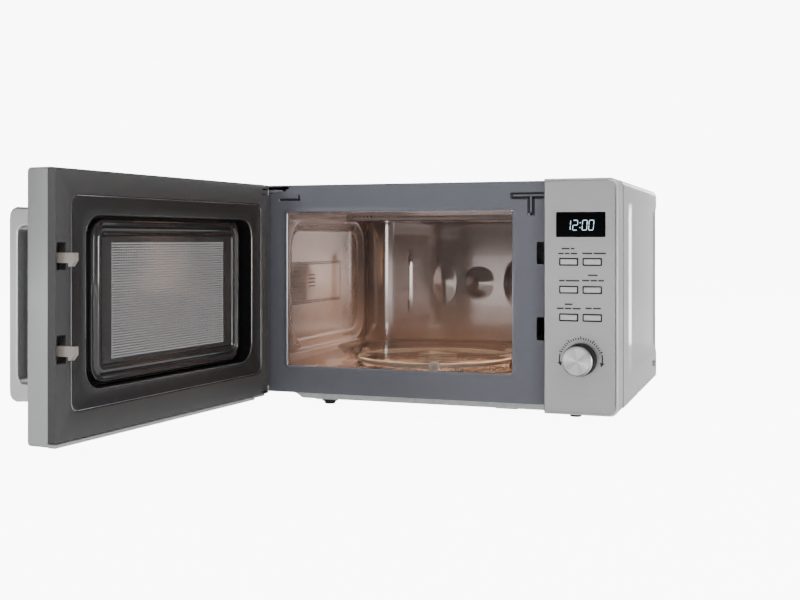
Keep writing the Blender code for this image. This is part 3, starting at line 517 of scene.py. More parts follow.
def pierced(bm, place, press, thickness, middle, radius, front, back, corners):
    """One grid cell with an eight-sided hole through both layers."""
    rings = []
    for layer, verts in enumerate((front, back)):
        ring = []
        for step in range(8):
            angle = math.radians(-112.5 + 45 * step)
            u, v = middle[0] + radius * math.cos(angle), middle[1] + radius * math.sin(angle)
            ring.append(bm.verts.new(place(u, v, press(u, v) + layer * thickness)))
        rings.append(ring)
        for side in range(4):
            first, second = verts[corners[side]], verts[corners[(side + 1) % 4]]
            near, far, after = ring[2 * side], ring[2 * side + 1], ring[(2 * side + 2) % 8]
            bm.faces.new((first, second, far, near))
            bm.faces.new((second, after, far))
    for step in range(8):
        bm.faces.new((rings[0][step - 1], rings[0][step], rings[1][step], rings[1][step - 1]))


# Body


def casing():
    """One sheet over the top and both sides, each side with a wide pressed panel."""
    flat = BODY_TOP - TOP_RADIUS - BODY_BOTTOM
    bend = math.pi / 2 * TOP_RADIUS
    across = 2 * (BODY_HALF - TOP_RADIUS)
    lengths = [flat, bend, across, bend, flat]
    ends = [sum(lengths[:count]) for count in range(6)]
    total = ends[-1]

    def place(u, y, h):
        if u <= ends[1]:
            return (-BODY_HALF + h, y, BODY_BOTTOM + u)
        if u <= ends[2]:
            angle = math.pi - (u - ends[1]) / TOP_RADIUS
            centre = -BODY_HALF + TOP_RADIUS
        elif u <= ends[3]:
            return (-BODY_HALF + TOP_RADIUS + u - ends[2], y, BODY_TOP - h)
        elif u <= ends[4]:
            angle = math.pi / 2 - (u - ends[3]) / TOP_RADIUS
            centre = BODY_HALF - TOP_RADIUS
        else:
            return (BODY_HALF - h, y, BODY_BOTTOM + total - u)
        reach = TOP_RADIUS - h
        return (centre + reach * math.cos(angle), y, BODY_TOP - TOP_RADIUS + reach * math.sin(angle))

    def side_panel(u, y):
        """Depth of the pressed panel, which has a long slope in front and short ones above and below."""
        height = BODY_BOTTOM + min(u, total - u)
        front, lower, upper = (y - 0.038) / 0.052, (height - 0.046) / 0.016, (0.2370 - height) / 0.009
        return 0.0023 * smooth_step(front) * smooth_step(lower) * smooth_step(upper)

    slit = (0.001, 0.009, 0.127, 0.129, 0.0005)
    slits = [slit, (total - slit[1], total - slit[0], *slit[2:])]
    bends = [start + bend * step / 6 for start in (ends[1], ends[3]) for step in range(7)]
    flats = [*spaced(0, flat, 0.004), *spaced(ends[2], ends[3], 0.03), *spaced(ends[4], total, 0.004)]
    us = sorted({*flats, *bends, *edges(slits, 0)})
    vs = spaced(0.0043, BODY_DEPTH, 0.004, *edges(slits, 1))
    flange = sheet(us, [0.0006, 0.006, 0.014], lambda u, y, h: place(u, y, h + SHEET + GAP))
    piece("plate_flange", flange, "plate_paint")
    piece("casing", sheet(us, vs, place, side_panel, slits), "casing_paint", stands_for=["outer_casing"])


def rounded_off(x, z, centre, away, radius):
    """The point itself or, beyond a round corner, the point pulled in to the corner's arc."""
    over_x, over_z = x - centre[0], z - centre[1]
    reach = math.hypot(over_x, over_z)
    if over_x * away[0] > 0 and over_z * away[1] > 0 and reach > radius:
        return centre[0] + over_x * radius / reach, centre[1] + over_z * radius / reach
    return x, z


def on_plate(x, z):
    """A point of the front or rear plate, pulled in to the round upper corners."""
    centre = (math.copysign(PLATE_HALF - PLATE_RADIUS, x), PLATE_TOP - PLATE_RADIUS)
    return rounded_off(x, z, centre, (x, 1), PLATE_RADIUS)


# A shape, how deep it is pressed, and how wide its slope is.
PLATE_PRESSINGS = (
    ((-0.1775, -0.1510, 0.2394, 0.2420, 0.0010), 0.0012, 0.0009),
    ((-0.1540, -0.1514, 0.2394, 0.2460, 0.0010), 0.0012, 0.0009),
    ((0.0992, 0.1415, 0.2382, 0.2452, 0.0016), 0.0016, 0.0010),
    ((0.1180, 0.1256, 0.2200, 0.2440, 0.0034), 0.0016, 0.0010),
)
PLATE_RIDGES = ((0.1015, 0.1415, 0.2412, 0.2434, 0.0008), (0.1204, 0.1226, 0.2238, 0.2430, 0.0008))


def face_plate():
    """The frame around the cavity's mouth, with two pressed grooves, a hinge notch and latch slots."""
    mouth = (CAVITY_LEFT + 0.0012, CAVITY_RIGHT, *MOUTH_Z, 0.0026)
    slots = [(0.128, 0.140, low, high, 0.001) for low, high in LATCH_SLOTS_Z]
    notch = (-0.2105, -0.1995, HINGE_ARMS[1] - 0.0017, HINGE_ARMS[1] + 0.0032, 0.0005)
    controls = (0.162, 0.212, 0.030, 0.245, 0.003)
    stairs = ((-0.1688, 0.2508), (-0.1655, 0.2530), (-0.1622, 0.2552))
    corner = [(-0.2135, end, low, 0.2700, 0.0003) for end, low in stairs]
    openings = [mouth, *slots, notch, controls, *corner]

    def around_mouth(growth, radius):
        return (mouth[0] - growth, mouth[1] + growth, mouth[2] - growth, mouth[3] + growth, radius)

    rolled = around_mouth(0.0022, 0.0045)

    def place(x, z, h):
        x, z = on_plate(x, z)
        return (x, h, z)

    def press(x, z):
        deepest = max(pressing(x, z, shape, depth, slope) for shape, depth, slope in PLATE_PRESSINGS)
        return deepest - pressing(x, z, rolled, 0.0006, 0.0012)

    lines = [[], []]
    for axis in (0, 1):
        lines[axis] = edges([*openings, rolled, around_mouth(0.001, 0)], axis)
        for shape, _, slope in PLATE_PRESSINGS:
            lines[axis] += [edge + side * slope / 2 for edge in edges([shape], axis) for side in (-1, 0, 1)]
    us = spaced(-PLATE_HALF, PLATE_HALF, 0.0028, *lines[0])
    vs = spaced(BODY_BOTTOM, PLATE_TOP, 0.0028, *lines[1])
    bm = sheet(us, vs, place, press, openings, thickness=0.001)
    piece("face_plate", bm, "plate_paint", stands_for=["front_plate"])
    curl = ((0.0003, -0.0006), (0.0001, -0.0010), (-0.0003, -0.0012), (-0.0007, -0.0010), (-0.0010, -0.0004))
    lip = grown(mouth[:2], mouth[2:4], 0.0026, (*curl, (-0.0010, 0.0012), (0.0, 0.0012)), 6)
    # The rolled lip is in lighter paint than the plate: painted highlight along the mouth's edge.
    piece("mouth_lip", tube(lip, "XZ"), "edge_painted_highlight")


def plate_details():
    """Rims in the latch slots, the grooves' ridges, dark sheets in the grooves and behind the top corner as
    painted shade, and the hinge's blade.
    """
    pockets = bmesh.new()
    for low, high in LATCH_SLOTS_Z:
        outer = rounded((0.1270, 0.1410), (low - 0.001, high + 0.001), 0.001, 3)
        inner = rounded((0.1280, 0.1400), (low, high), 0.001, 3)
        shell = [(outer, 0.0012), (outer, 0.0022), (inner, 0.0022), (inner, 0.0012)]
        tube(shell, "XZ", pockets)
    piece("latch_slot_rims", pockets, "black_plastic")
    bars = bmesh.new()
    for x0, x1, z0, z1, radius in PLATE_RIDGES:
        block((x0, x1), (0.0003, 0.0018), (z0, z1), bars, radius)
    piece("plate_ridge", bars, "plate_paint", bevel=0.0004)
    # Dark sheets at the bottom of the grooves: painted shade.
    groove_shade = bmesh.new()
    for (x0, x1, z0, z1, _), depth, slope in PLATE_PRESSINGS:
        across, up = (x0 + slope / 2, x1 - slope / 2), (z0 + slope / 2, z1 - slope / 2)
        block(across, (depth - 0.0002, depth + 0.0003), up, groove_shade)
    piece("plate_groove_painted_shade", groove_shade, "plate_shadow")
    # A dark sheet behind the openings at the top left corner: painted shade.
    corner_shade = [(-0.2175, 0.2495), (-0.1630, 0.2495), (-0.1630, 0.2570), (-0.2175, 0.2570)]
    piece("plate_corner_painted_shade", prism(corner_shade, (0.0300, 0.0310)), "plate_shadow")
    blade = [(-0.2020, 0.2486), (-0.1820, 0.2492), (-0.1735, 0.2503), (-0.1715, 0.2512), (-0.1745, 0.2520)]
    piece("hinge_blade", prism([*blade, (-0.2020, 0.2526)], (-0.0014, -0.0004)), "zinc_steel", bevel=0.0003)


def rear():
    """Back panel with its two fields of slots, pressed ribs and the round hole for the mains lead."""
    columns = (0.163, -0.120)
    rows = [0.138 + row * 0.012 for row in range(7)]
    slots = [(x - 0.035, x + 0.035, z, z + 0.004, 0.0018) for x in columns for z in rows]
    lead = (0.1767, 0.1933, 0.0467, 0.0633, 0.0083)
    level = BODY_DEPTH - 0.002 + SHEET

    def place(x, z, h):
        x, z = on_plate(x, z)
        return (x, level - h, z)

    def press(x, z):
        border = pressing(x, z, (-0.205, 0.205, 0.030, 0.245, 0.010), 0.0012, 0.004)
        ribs = [(-0.060, 0.095, low, low + 0.008, 0.004) for low in (0.05, 0.09, 0.20)]
        return border + sum(pressing(x, z, rib, -0.0012, 0.003) for rib in ribs)

    us = spaced(-PLATE_HALF, PLATE_HALF, 0.004, *edges([*slots, lead], 0))
    vs = spaced(BODY_BOTTOM + SHEET, PLATE_TOP, 0.002, *edges([*slots, lead], 1))
    piece("back_panel", sheet(us, vs, place, press, [*slots, lead]), "zinc_steel", stands_for=["rear_panel"])
    heads = bmesh.new()
    for x in (-0.212, 0.0, 0.212):
        for z in (0.024, 0.249):
            screw_head((x, z), level, heads)
    piece("back_screws", heads, "zinc_steel")


def screw_head(centre, level, bm, radius=0.0032):
    """A domed head with a raised cross, standing on the rear panel's level of Y."""
    profile = [(0, 0.0016), (radius * 0.5, 0.0015), (radius * 0.85, 0.001), (radius, 0.0002), (radius, 0)]
    profile.append((0, 0))
    turned(raised(profile, level), "XZ", centre, 24, bm)
    arm = radius * 0.55
    for half_x, half_z in ((arm, 0.0004), (0.0004, arm)):
        limits = (centre[0] - half_x, centre[0] + half_x), (centre[1] - half_z, centre[1] + half_z)
        block(limits[0], (level + 0.0013, level + 0.0018), limits[1], bm)


def bottom():
    """A shallow tray with two long pads, round pads over the feet and pressed ribs."""
    half, low = 0.212, 0.0100
    tray = (-half, half, 0.004, 0.305, 0.004)
    bosses = ((0.163, 0.040), (-0.130, 0.280), (0.163, 0.280))
    pads = [(x - 0.016, x + 0.016, 0.024, 0.056, 0.008) for x in (-0.130, 0.088)]
    pads += [(x - 0.012, x + 0.012, y - 0.012, y + 0.012, 0.012) for x, y in bosses]
    ribs = [(-0.16, 0.05, y, y + 0.010, 0.005) for y in (0.09, 0.15, 0.21)]
    vent_x = [0.105 + 0.009 * step for step in range(9)]
    vents = [(x - 0.0015, x + 0.0015, 0.120, 0.190, 0.0014) for x in vent_x]

    def press(x, y):
        drop = max(pressing(x, y, shape, 0.0040, 0.004) for shape in pads)
        rise = max(pressing(x, y, shape, 0.0018, 0.004) for shape in ribs)
        rim = smooth_step(1 + distance(x, y, tray) / 0.0030)
        shallow = smooth_step((-0.150 - x) / 0.010)
        return rise + 0.0062 * max(rim, shallow) - drop

    us = sorted({*spaced(-half, half, 0.004, *edges(pads, 0)), *edges(vents, 0)})
    vs = spaced(0.004, 0.305, 0.004, 0.005, 0.006, 0.007, *edges(pads, 1))
    bm = sheet(us, vs, lambda x, y, h: (x, y, low + h), press, vents)
    piece("base_tray", bm, "zinc_steel", stands_for=["base_plate"])
    foot = [(0, 0), (0.0056, 0), (0.0064, 0.0006), (0.0070, 0.0030), (0.0095, 0.0036), (0.0095, FOOT_HEIGHT)]
    for row, y in (("front", 0.040), ("rear", 0.280)):
        for side, x in (("left", -0.130), ("right", 0.163)):
            bm = turned([*foot, (0, FOOT_HEIGHT)], "XY", (x, y), 48)
            piece(f"rubber_foot_{row}_{side}", bm, "rubber", stands_for=[f"foot_{row}_{side}"])


# Cavity


def cavity():
    """Floor, side walls with pressed panels and vents, ceiling, and the back with its domes."""
    recess = (-0.030, 0.288, 0.056, 0.2215, 0.030)
    window = (0.0235, 0.2500, 0.068, 0.2105, 0.028)

    def wall_press(y, z):
        return pressing(y, z, recess, 0.0026, 0.007) + pressing(y, z, window, 0.0046, 0.012)

    def vents(y, z):
        """Radius of the left wall's hole at a point: a field, a frame of single rows and a small grille."""
        if not 0.1145 < z < 0.1685:
            return 0.0
        field = 0.0290 < y < 0.0740
        column = 0.1790 < y < 0.1835
        rows = 0.0740 < y < 0.1835 and not 0.1190 < z < 0.1640
        grille = 0.0800 < y < 0.1000 and 0.1340 < z < 0.1545 and (z - 0.1340) % 0.0045 > 0.0018
        return 0.00092 * (field or column or rows) or 0.00100 * grille

    low, high = CAVITY_FLOOR, CAVITY_TOP - GAP
    pitch = 0.00225
    us = spaced(WALL_START, WALL_END - GAP, pitch)
    vs = spaced(low, high, pitch)
    left = sheet(us, vs, lambda y, z, h: (CAVITY_LEFT - h, y, z), wall_press, holes=vents)
    openings = [(0.110, 0.190, 0.130, 0.185, 0.004), (0.224, 0.246, 0.198, 0.220, 0.011)]
    us = spaced(WALL_START, WALL_END - GAP, 0.004, *edges(openings, 0))
    vs = spaced(low, high, 0.004, *edges(openings, 1))
    sheet(us, vs, lambda y, z, h: (CAVITY_RIGHT + h, y, z), openings=openings, bm=left)

    def floor_press(x, y):
        away = math.hypot(x - TURN[0], y - TURN[1])
        track = 0.0010 * smooth_step(1 - abs(away - ROLLER_CIRCLE) / 0.010)
        rib = 0.0012 * smooth_step(1 - abs(away - 0.060) / 0.008)
        return track + rib

    shaft = (TURN[0] - 0.005, TURN[0] + 0.005, TURN[1] - 0.005, TURN[1] + 0.005, 0.005)
    us = spaced(CAVITY_LEFT, CAVITY_RIGHT, 0.004, *shaft[:2])
    vs = spaced(WALL_START, CAVITY_BACK + SHEET, 0.004, *shaft[2:4])
    sheet(us, vs, lambda x, y, h: (x, y, CAVITY_FLOOR - h), floor_press, [shaft], bm=left)
    piece("cavity_shell", left, "cavity_enamel", stands_for=["cavity_wrapper"], sharp=60)
    back_wall(recess)
    hole = (-0.125, 0.075, 0.115, 0.190, 0.003)
    us = spaced(CAVITY_LEFT - SHEET, CAVITY_RIGHT + SHEET, 0.006, *hole[:2])
    vs = spaced(WALL_START, CAVITY_BACK + SHEET, 0.006, *hole[2:4])
    bm = sheet(us, vs, lambda x, y, h: (x, y, CAVITY_TOP + h), openings=[hole])
    piece("cavity_roof", bm, "cavity_enamel", stands_for=["cavity_ceiling"])
    guard()


def back_wall(recess):
    """The back and its two wide corners, with an upright bead, a round dome and a tall one on each side."""
    bend = math.pi / 2 * CORNER
    across = CAVITY_RIGHT - CAVITY_LEFT - 2 * CORNER
    total = 2 * bend + across
    middle_u = bend - CAVITY_LEFT - CORNER
    centre_x = -0.0172

    def place(u, z, h):
        reach = CORNER + h
        if bend <= u <= bend + across:
            return (u - middle_u, CAVITY_BACK + h, z)
        if u < bend:
            centre, angle = CAVITY_LEFT + CORNER, math.pi - u / CORNER
        else:
            centre, angle = CAVITY_RIGHT - CORNER, math.pi / 2 - (u - bend - across) / CORNER
        return (centre + reach * math.cos(angle), WALL_END + reach * math.sin(angle), z)

    def lens(away):
        return math.cos(math.pi / 2 * min(1.0, away)) ** 1.3

    def press(u, z):
        x, up = u - middle_u, z - DOME_Z
        side = pressing(WALL_END + u, z, recess, 0.0026, 0.007)
        along = x - BEAD_X[0]
        bead = 0.0022 * max(0.0, min(along / 0.0012, (BEAD_X[1] - x) / 0.0050, 1.0))
        bead *= smooth_step(2.1 - abs(up) / 0.021)
        dome = 0.0018 * lens(math.hypot(x - centre_x, up) / 0.0215)
        for middle in (centre_x - 0.0503, centre_x + 0.0503):
            dome += 0.0015 * lens(math.hypot((x - middle) / 0.0165, up / 0.031))
        return side - bead - dome

    ridge = [middle_u - 0.1215 + 0.001 * step for step in range(10)]
    us = spaced(0, total, 0.0018, bend, bend + across, *ridge)
    vs = spaced(CAVITY_FLOOR + GAP, CAVITY_TOP - GAP, 0.0018)
    bm = sheet(us, vs, place, press)
    piece("cavity_rear_wall", bm, "cavity_enamel", stands_for=["cavity_back"], sharp=60)


def guard():
    """The perforated tray under the grill."""
    x, y = (-0.135, 0.085), (0.105, 0.200)
    low, high, rim, pitch = CAVITY_TOP - 0.009, CAVITY_TOP - GAP, 0.006, 0.005
    slot_z = (low + 0.0025, low + 0.0075)

    def holes(a, b):
        return 0.0017 * (x[0] + rim < a < x[1] - rim and y[0] + rim < b < y[1] - rim)

    def slots(a, z):
        return 0.0016 * (slot_z[0] < z < slot_z[1])

    us = [x[0] + pitch * step for step in range(round((x[1] - x[0]) / pitch) + 1)]
    vs = [y[0] + pitch * step for step in range(round((y[1] - y[0]) / pitch) + 1)]
    bm = sheet(us, vs, lambda a, b, h: (a, b, low + h), holes=holes)
    sides_z = [low, *slot_z, high]
    for level, side in ((y[0], 1), (y[1], -1)):
        sheet(us, sides_z, lambda a, z, h, at=level, side=side: (a, at + side * h, z), holes=slots, bm=bm)
    for level, side in ((x[0], 1), (x[1], -1)):
        sheet(vs, sides_z, lambda b, z, h, at=level, side=side: (at + side * h, b, z), holes=slots, bm=bm)
    piece("grill_screen", bm, "cavity_enamel", stands_for=["grill_guard"])


# Turntable


def turntable():
    """Clear glass tray with ridges under it, its roller ring and three wheels."""
    under = [(0, 0), (0.0260, 0), (0.0275, -0.0012), (0.0290, 0)]
    for radius in (0.055, 0.080):
        under += [(radius, 0), (radius + 0.0012, -0.0006), (radius + 0.0024, 0)]
    under += [(0.1080, 0), (0.1125, 0.0004), (0.1165, 0.0021), (0.1198, 0.0044), (0.1218, 0.0064)]
    rim = [(0.1225, 0.0076), (0.1223, 0.0082), (0.1216, 0.0084), (0.1204, 0.0080), (0.1180, 0.0066)]
    profile = [*under, *rim, (0.1145, 0.0050), (0.1100, 0.0045), (0, 0.0045)]
    lug = [(0, -0.004), (0.0032, -0.004), (0.004, -0.0032), (0.004, -0.0001), (0, -0.0001)]
    place = OVEN @ Matrix.Translation((*TURN, 0))
    bm = turned(raised(profile, TRAY_Z), "XY", steps=128)
    for angle in (60, 180, 300):
        spot = (0.018 * math.cos(math.radians(angle)), 0.018 * math.sin(math.radians(angle)))
        turned(raised(lug, TRAY_Z), "XY", spot, 24, bm)
    piece("turntable_tray", bm, "clear_glass", "turntable", place, ["glass_tray"], sharp=50)
    half = [(0.0920, 0.0018), (0.0927, 0.0025), (0.0973, 0.0025), (0.0980, 0.0018)]
    hoop = [(radius, -height) for radius, height in half] + half[::-1]
    bm = turned(raised(hoop, ROLLER_Z), "XY", steps=96)
    spoke = [(0, 0.0965), (0.0016, 0.0965), (0.0016, 0.1128), (0.0012, 0.1135), (0, 0.1135)]
    turns = [Matrix.Rotation(math.radians(angle), 4, "Z") for angle in ROLLER_ANGLES]
    for turn in turns:
        axle = turned(spoke, "YZ", (0, ROLLER_Z), 20)
        bmesh.ops.transform(axle, matrix=turn, verts=axle.verts)
        add_to(bm, axle)
    piece("roller_hoop", bm, "white_plastic", "ring", place, ["roller_ring"])
    wheel = [(0.0020, -0.0040), (0.0050, -0.0040), (0.0060, -0.0032), (0.0060, 0.0032), (0.0050, 0.0040)]
    wheel += [(0.0034, 0.0040), (0.0030, 0.0034), (0.0020, 0.0034)]
    for number, turn in enumerate(turns, 1):
        spot = place @ turn @ Matrix.Translation((ROLLER_CIRCLE, 0, ROLLER_Z))
        bm = turned(wheel, "YZ", steps=40)
        piece(f"wheel_{number}", bm, "white_plastic", f"wheel_{number}", spot, [f"roller_wheel_{number}"])


def add_to(target, source):
    """Moves one bmesh into another."""
    mesh = bpy.data.meshes.new("part")
    source.to_mesh(mesh)
    source.free()
    target.from_mesh(mesh)
    bpy.data.meshes.remove(mesh)


# Control panel


def panel_housing():
    """Silver housing with a rounded outer side, and a near-white rim around the face as a painted highlight.
    """
    wide, tall = (0.1426, BODY_HALF), (0.013, BODY_TOP)
    radii = (0.0012, 0.0088, 0.0088, 0.0012)

    def outline(inset, left):
        return rounded((wide[0] + left, wide[1] - inset), (tall[0] + inset, tall[1] - inset), radii)

    side = ((0.0008, -0.0003), (0.0008, -0.0009), (0.0, -0.0016), (0.0, -0.0310), (0.0004, -0.0325))
    rim = ((0.0012, -0.0334), (0.0020, -0.0337), (0.0026, -0.0335))
    loops = [(outline(inset, min(inset, 0.0007)), level) for inset, level in (*side, *rim)]
    round_side = (0.001, 0.006, 0.006, 0.001)
    inner = rounded((wide[0] + 0.002, wide[1] - 0.0034), (tall[0] + 0.0034, tall[1] - 0.0034), round_side)
    loops += [(inner, -0.0322), (inner, -0.0003)]
    piece("panel_housing", tube(loops, "XZ"), "silver_plastic", stands_for=["control_panel_bezel"])
    # A thin near-white ring on the housing's rounded edge around the face: painted highlight.
    rim = ((-0.0001, -0.0322), (0.0002, -0.0332), (0.0010, -0.0339), (0.0015, -0.0337), (0.0007, -0.0322))
    loops = [(outline(inset, 0.0007), level) for inset, level in rim]
    piece("panel_rim_highlight", tube(loops, "XZ"), "rim_painted_highlight")


def panel_face():
    """The brushed face with its openings, and a dark sheet behind it as painted shade seen through the
    openings.
    """
    openings = [(*DISPLAY_X, *DISPLAY_Z, 0.0006)]
    openings.append((KNOB[0] - 0.0045, KNOB[0] + 0.0045, KNOB[1] - 0.0045, KNOB[1] + 0.0045, 0.0045))
    for x in BUTTON_COLUMNS.values():
        openings += [(x - 0.0101, x + 0.0101, z - 0.00415, z + 0.00415, 0.0008) for z in BUTTON_ROWS.values()]
    left, right, low, high, radius = 0.1432, 0.2168, 0.0154, 0.2558, 0.0064

    def place(x, z, h):
        for corner, away in ((high - radius, 1), (low + radius, -1)):
            x, z = rounded_off(x, z, (right - radius, corner), (1, away), radius)
        return (x, PANEL_FACE + h, z)

    def press(x, z):
        rim = min(x - left, right - x, z - low, high - z)
        if x > right - radius and not low + radius < z < high - radius:
            rim = -distance(x, z, (left - 0.02, right, low, high, radius))
        return 0.0005 * (1 - smooth_step(rim / 0.0008))

    rolled = [(left + depth, right - depth, low + depth, high - depth) for depth in (0.0004, 0.0008)]
    us = spaced(left, right, 0.0015, *edges(openings + rolled, 0))
    vs = spaced(low, high, 0.0015, *edges(openings + rolled, 1))
    bm = sheet(us, vs, place, press, openings)
    piece("panel_face", bm, "brushed_steel", stands_for=["control_panel_face"])
    # A near-black sheet behind the face: painted shade in the openings.
    shade_sheet = block((0.1450, 0.2155), (-0.0328, -0.0318), (0.018, 0.253))
    piece("panel_painted_shade", shade_sheet, "opening_painted_shade")


SEGMENTS = {
    "a": ((0, 1), (1, 1)),
    "b": ((1, 1), (1, 0.5)),
    "c": ((1, 0.5), (1, 0)),
    "d": ((0, 0), (1, 0)),
    "e": ((0, 0.5), (0, 0)),
    "f": ((0, 1), (0, 0.5)),
    "g": ((0, 0.5), (1, 0.5)),
}
LIT = (-0.03405, -0.03390)
CLOCK = (("bc", 0.1657), ("abged", 0.1730), ("abcdef", 0.1828), ("abcdef", 0.1896))


def display():
    """A black pane with a clock of lit bars."""
    rows = ((-0.0003, -0.0313), (-0.0003, -0.0336), (-0.0006, -0.0339))
    loops = []
    for (growth, level), radius in zip(rows, (0.0008, 0.0008, 0.0006)):
        limits = [(limit[0] - growth, limit[1] + growth) for limit in (DISPLAY_X, DISPLAY_Z)]
        loops.append((rounded(*limits, radius, 3), level))
    pane = stack(loops, "XZ")
    piece("display_pane", pane, "display_glass", stands_for=["display_window"], slot="smoked_glass")
    digits = bmesh.new()
    wide, tall, slant, low, half = 0.0048, 0.0102, 0.0008, 0.2042, 0.00029
    for lit, left in CLOCK:
        for segment in lit:
            ends = [Vector((left + a * wide + b * slant, low + b * tall)) for a, b in SEGMENTS[segment]]
            lit_bar(digits, *ends, half)
    for x, z in ((0.1807, 0.2068), (0.1811, 0.2118)):
        dot = [(0, LIT[0]), (0.0005, LIT[0]), (0.0005, LIT[1]), (0, LIT[1])]
        turned(dot, "XZ", (x, z), 12, digits)
    piece("display_digits", digits, "display_light")


def lit_bar(bm, start, end, half):
    """One pointed bar of a digit."""
    along = (end - start).normalized()
    across = Vector((-along.y, along.x)) * half
    start, end = start + along * half * 0.9, end - along * half * 0.9
    first, last = start + along * half, end - along * half
    outline = [start, first + across, last + across, end, last - across, first - across]
    prism([point[:] for point in outline], LIT, bm)


def buttons():
    """Light caps in dark collars, each pair riding on its own key body."""
    wide, tall = BUTTON_HALF
    edge = rounded((-wide, wide), (-tall, tall), 0.0007, 3)
    flange = rounded((-0.0115, 0.0115), (-0.0052, 0.0052), 0.0008, 3)
    collar = [(edge, -0.0002), (edge, 0.0036), (flange, 0.0036), (flange, 0.0048)]
    cap = []
    for inset, level in ((0.0011, -0.0001), (0.0011, -0.0006), (0.0013, -0.0009), (0.0017, -0.0010)):
        cap.append((rounded((-wide + inset, wide - inset), (-tall + inset, tall - inset), 0.0006, 3), level))
    for row, z in BUTTON_ROWS.items():
        for column, x in BUTTON_COLUMNS.items():
            place = OVEN @ Matrix.Translation((x, PANEL_FACE, z))
            key = f"{row}_{column}"
            body = f"key_{key}"
            piece(f"key_collar_{key}", stack(collar, "XZ"), "key_collar", body, place)
            bm = stack(cap, "XZ")
            piece(f"key_cap_{key}", bm, "key_cap", body, place, [f"button_{key}"], "silver_plastic")


MARKS = (
    (0.1851, ((0.1616, 0.1700), (0.1712, 0.1751))),
    (0.1800, ((0.1581, 0.1640), (0.1650, 0.1700), (0.1711, 0.1780))),
    (0.1802, ((0.1830, 0.1935), (0.1947, 0.2074))),
    (0.1519, ((0.1590, 0.1650), (0.1661, 0.1801))),
    (0.1577, ((0.1890, 0.1990),)),
    (0.1522, ((0.1830, 0.1905), (0.1916, 0.1985), (0.1996, 0.2055))),
    (0.1275, ((0.1650, 0.1730),)),
    (0.1231, ((0.1568, 0.1640), (0.1651, 0.1720), (0.1731, 0.1815))),
    (0.1236, ((0.1865, 0.1930), (0.1941, 0.2023))),
)


def printing():
    """Plain dashes above the keys, and a scale of ticks with two arrows around the knob."""
    ink = bmesh.new()
    level = (PANEL_FACE - 0.00008, PANEL_FACE + 0.0001)
    for z, dashes in MARKS:
        for start, end in dashes:
            block((start, end), level, (z - 0.0008, z + 0.0008), ink, 0.0004)
    for step in range(21):
        length = 0.0036 if step % 5 == 0 else 0.0024
        radial_bar(ink, 160 - 140 * step / 20, TICK_START, TICK_START + length, 0.00055, level)
    for start, end, point in ((166, 188, 12), (14, -8, -12)):
        angles = [start + (end - start) * step / 6 for step in range(7)]
        inner = [polar(0.0215, angle) for angle in angles]
        outer = [polar(0.0229, angle) for angle in reversed(angles)]
        prism(inner + outer, level, ink)
        prism([polar(0.0198, end), polar(0.0246, end), polar(0.0221, end + point)], level, ink)
    piece("panel_print", ink, "print_ink")


def polar(radius, angle):
    """A point around the knob's axis."""
    turn = math.radians(angle)
    return (KNOB[0] + radius * math.cos(turn), KNOB[1] + radius * math.sin(turn))


def radial_bar(bm, angle, near, far, half, level):
    turn = math.degrees(half / near)
    corners = ((near, -turn), (far, -turn), (far, turn), (near, turn))
    prism([polar(radius, angle + offset) for radius, offset in corners], level, bm)


def knob():
    """Black fluted grip and a turned metal face with a bright chamfer."""
    place = OVEN @ Matrix.Translation((KNOB[0], PANEL_FACE, KNOB[1]))
    grip = [(0, -0.0210), (0.0156, -0.0210), (0.0160, -0.0206), (0.0163, -0.0198), (0.0170, -0.0014)]
    grip += [(0.0166, -0.0008), (0.0029, -0.0006), (0.0029, 0.0070), (0, 0.0070)]
    bm = turned(grip, "XZ", steps=192, flutes=48, depth=0.0005)
    piece("knob_body", bm, "black_plastic", "knob", place, ["knob_grip"], sharp=60)
    rings = 72
    face = [(0.0136 * (step + 1) / rings, -0.0239 - 0.00004 * (step % 2)) for step in range(rings)]
    cap = [(0, -0.0239), *face, (0.0138, -0.0233), (0.0141, -0.0233), (0.0143, -0.0239), (0.0149, -0.0240)]
    cap += [(0.0155, -0.0234), (0.0157, -0.0226), (0.0157, -0.0213), (0, -0.0213)]
    bm = turned(cap, "XZ", steps=128)
    piece("knob_face", bm, "knob_metal", "knob", place, ["knob_cap"], "aluminium", sharp=40)


# Door


def door_piece(name, loops, finish, **options):
    return piece(name, tube(loops, "XZ"), finish, "door", DOOR, **options)


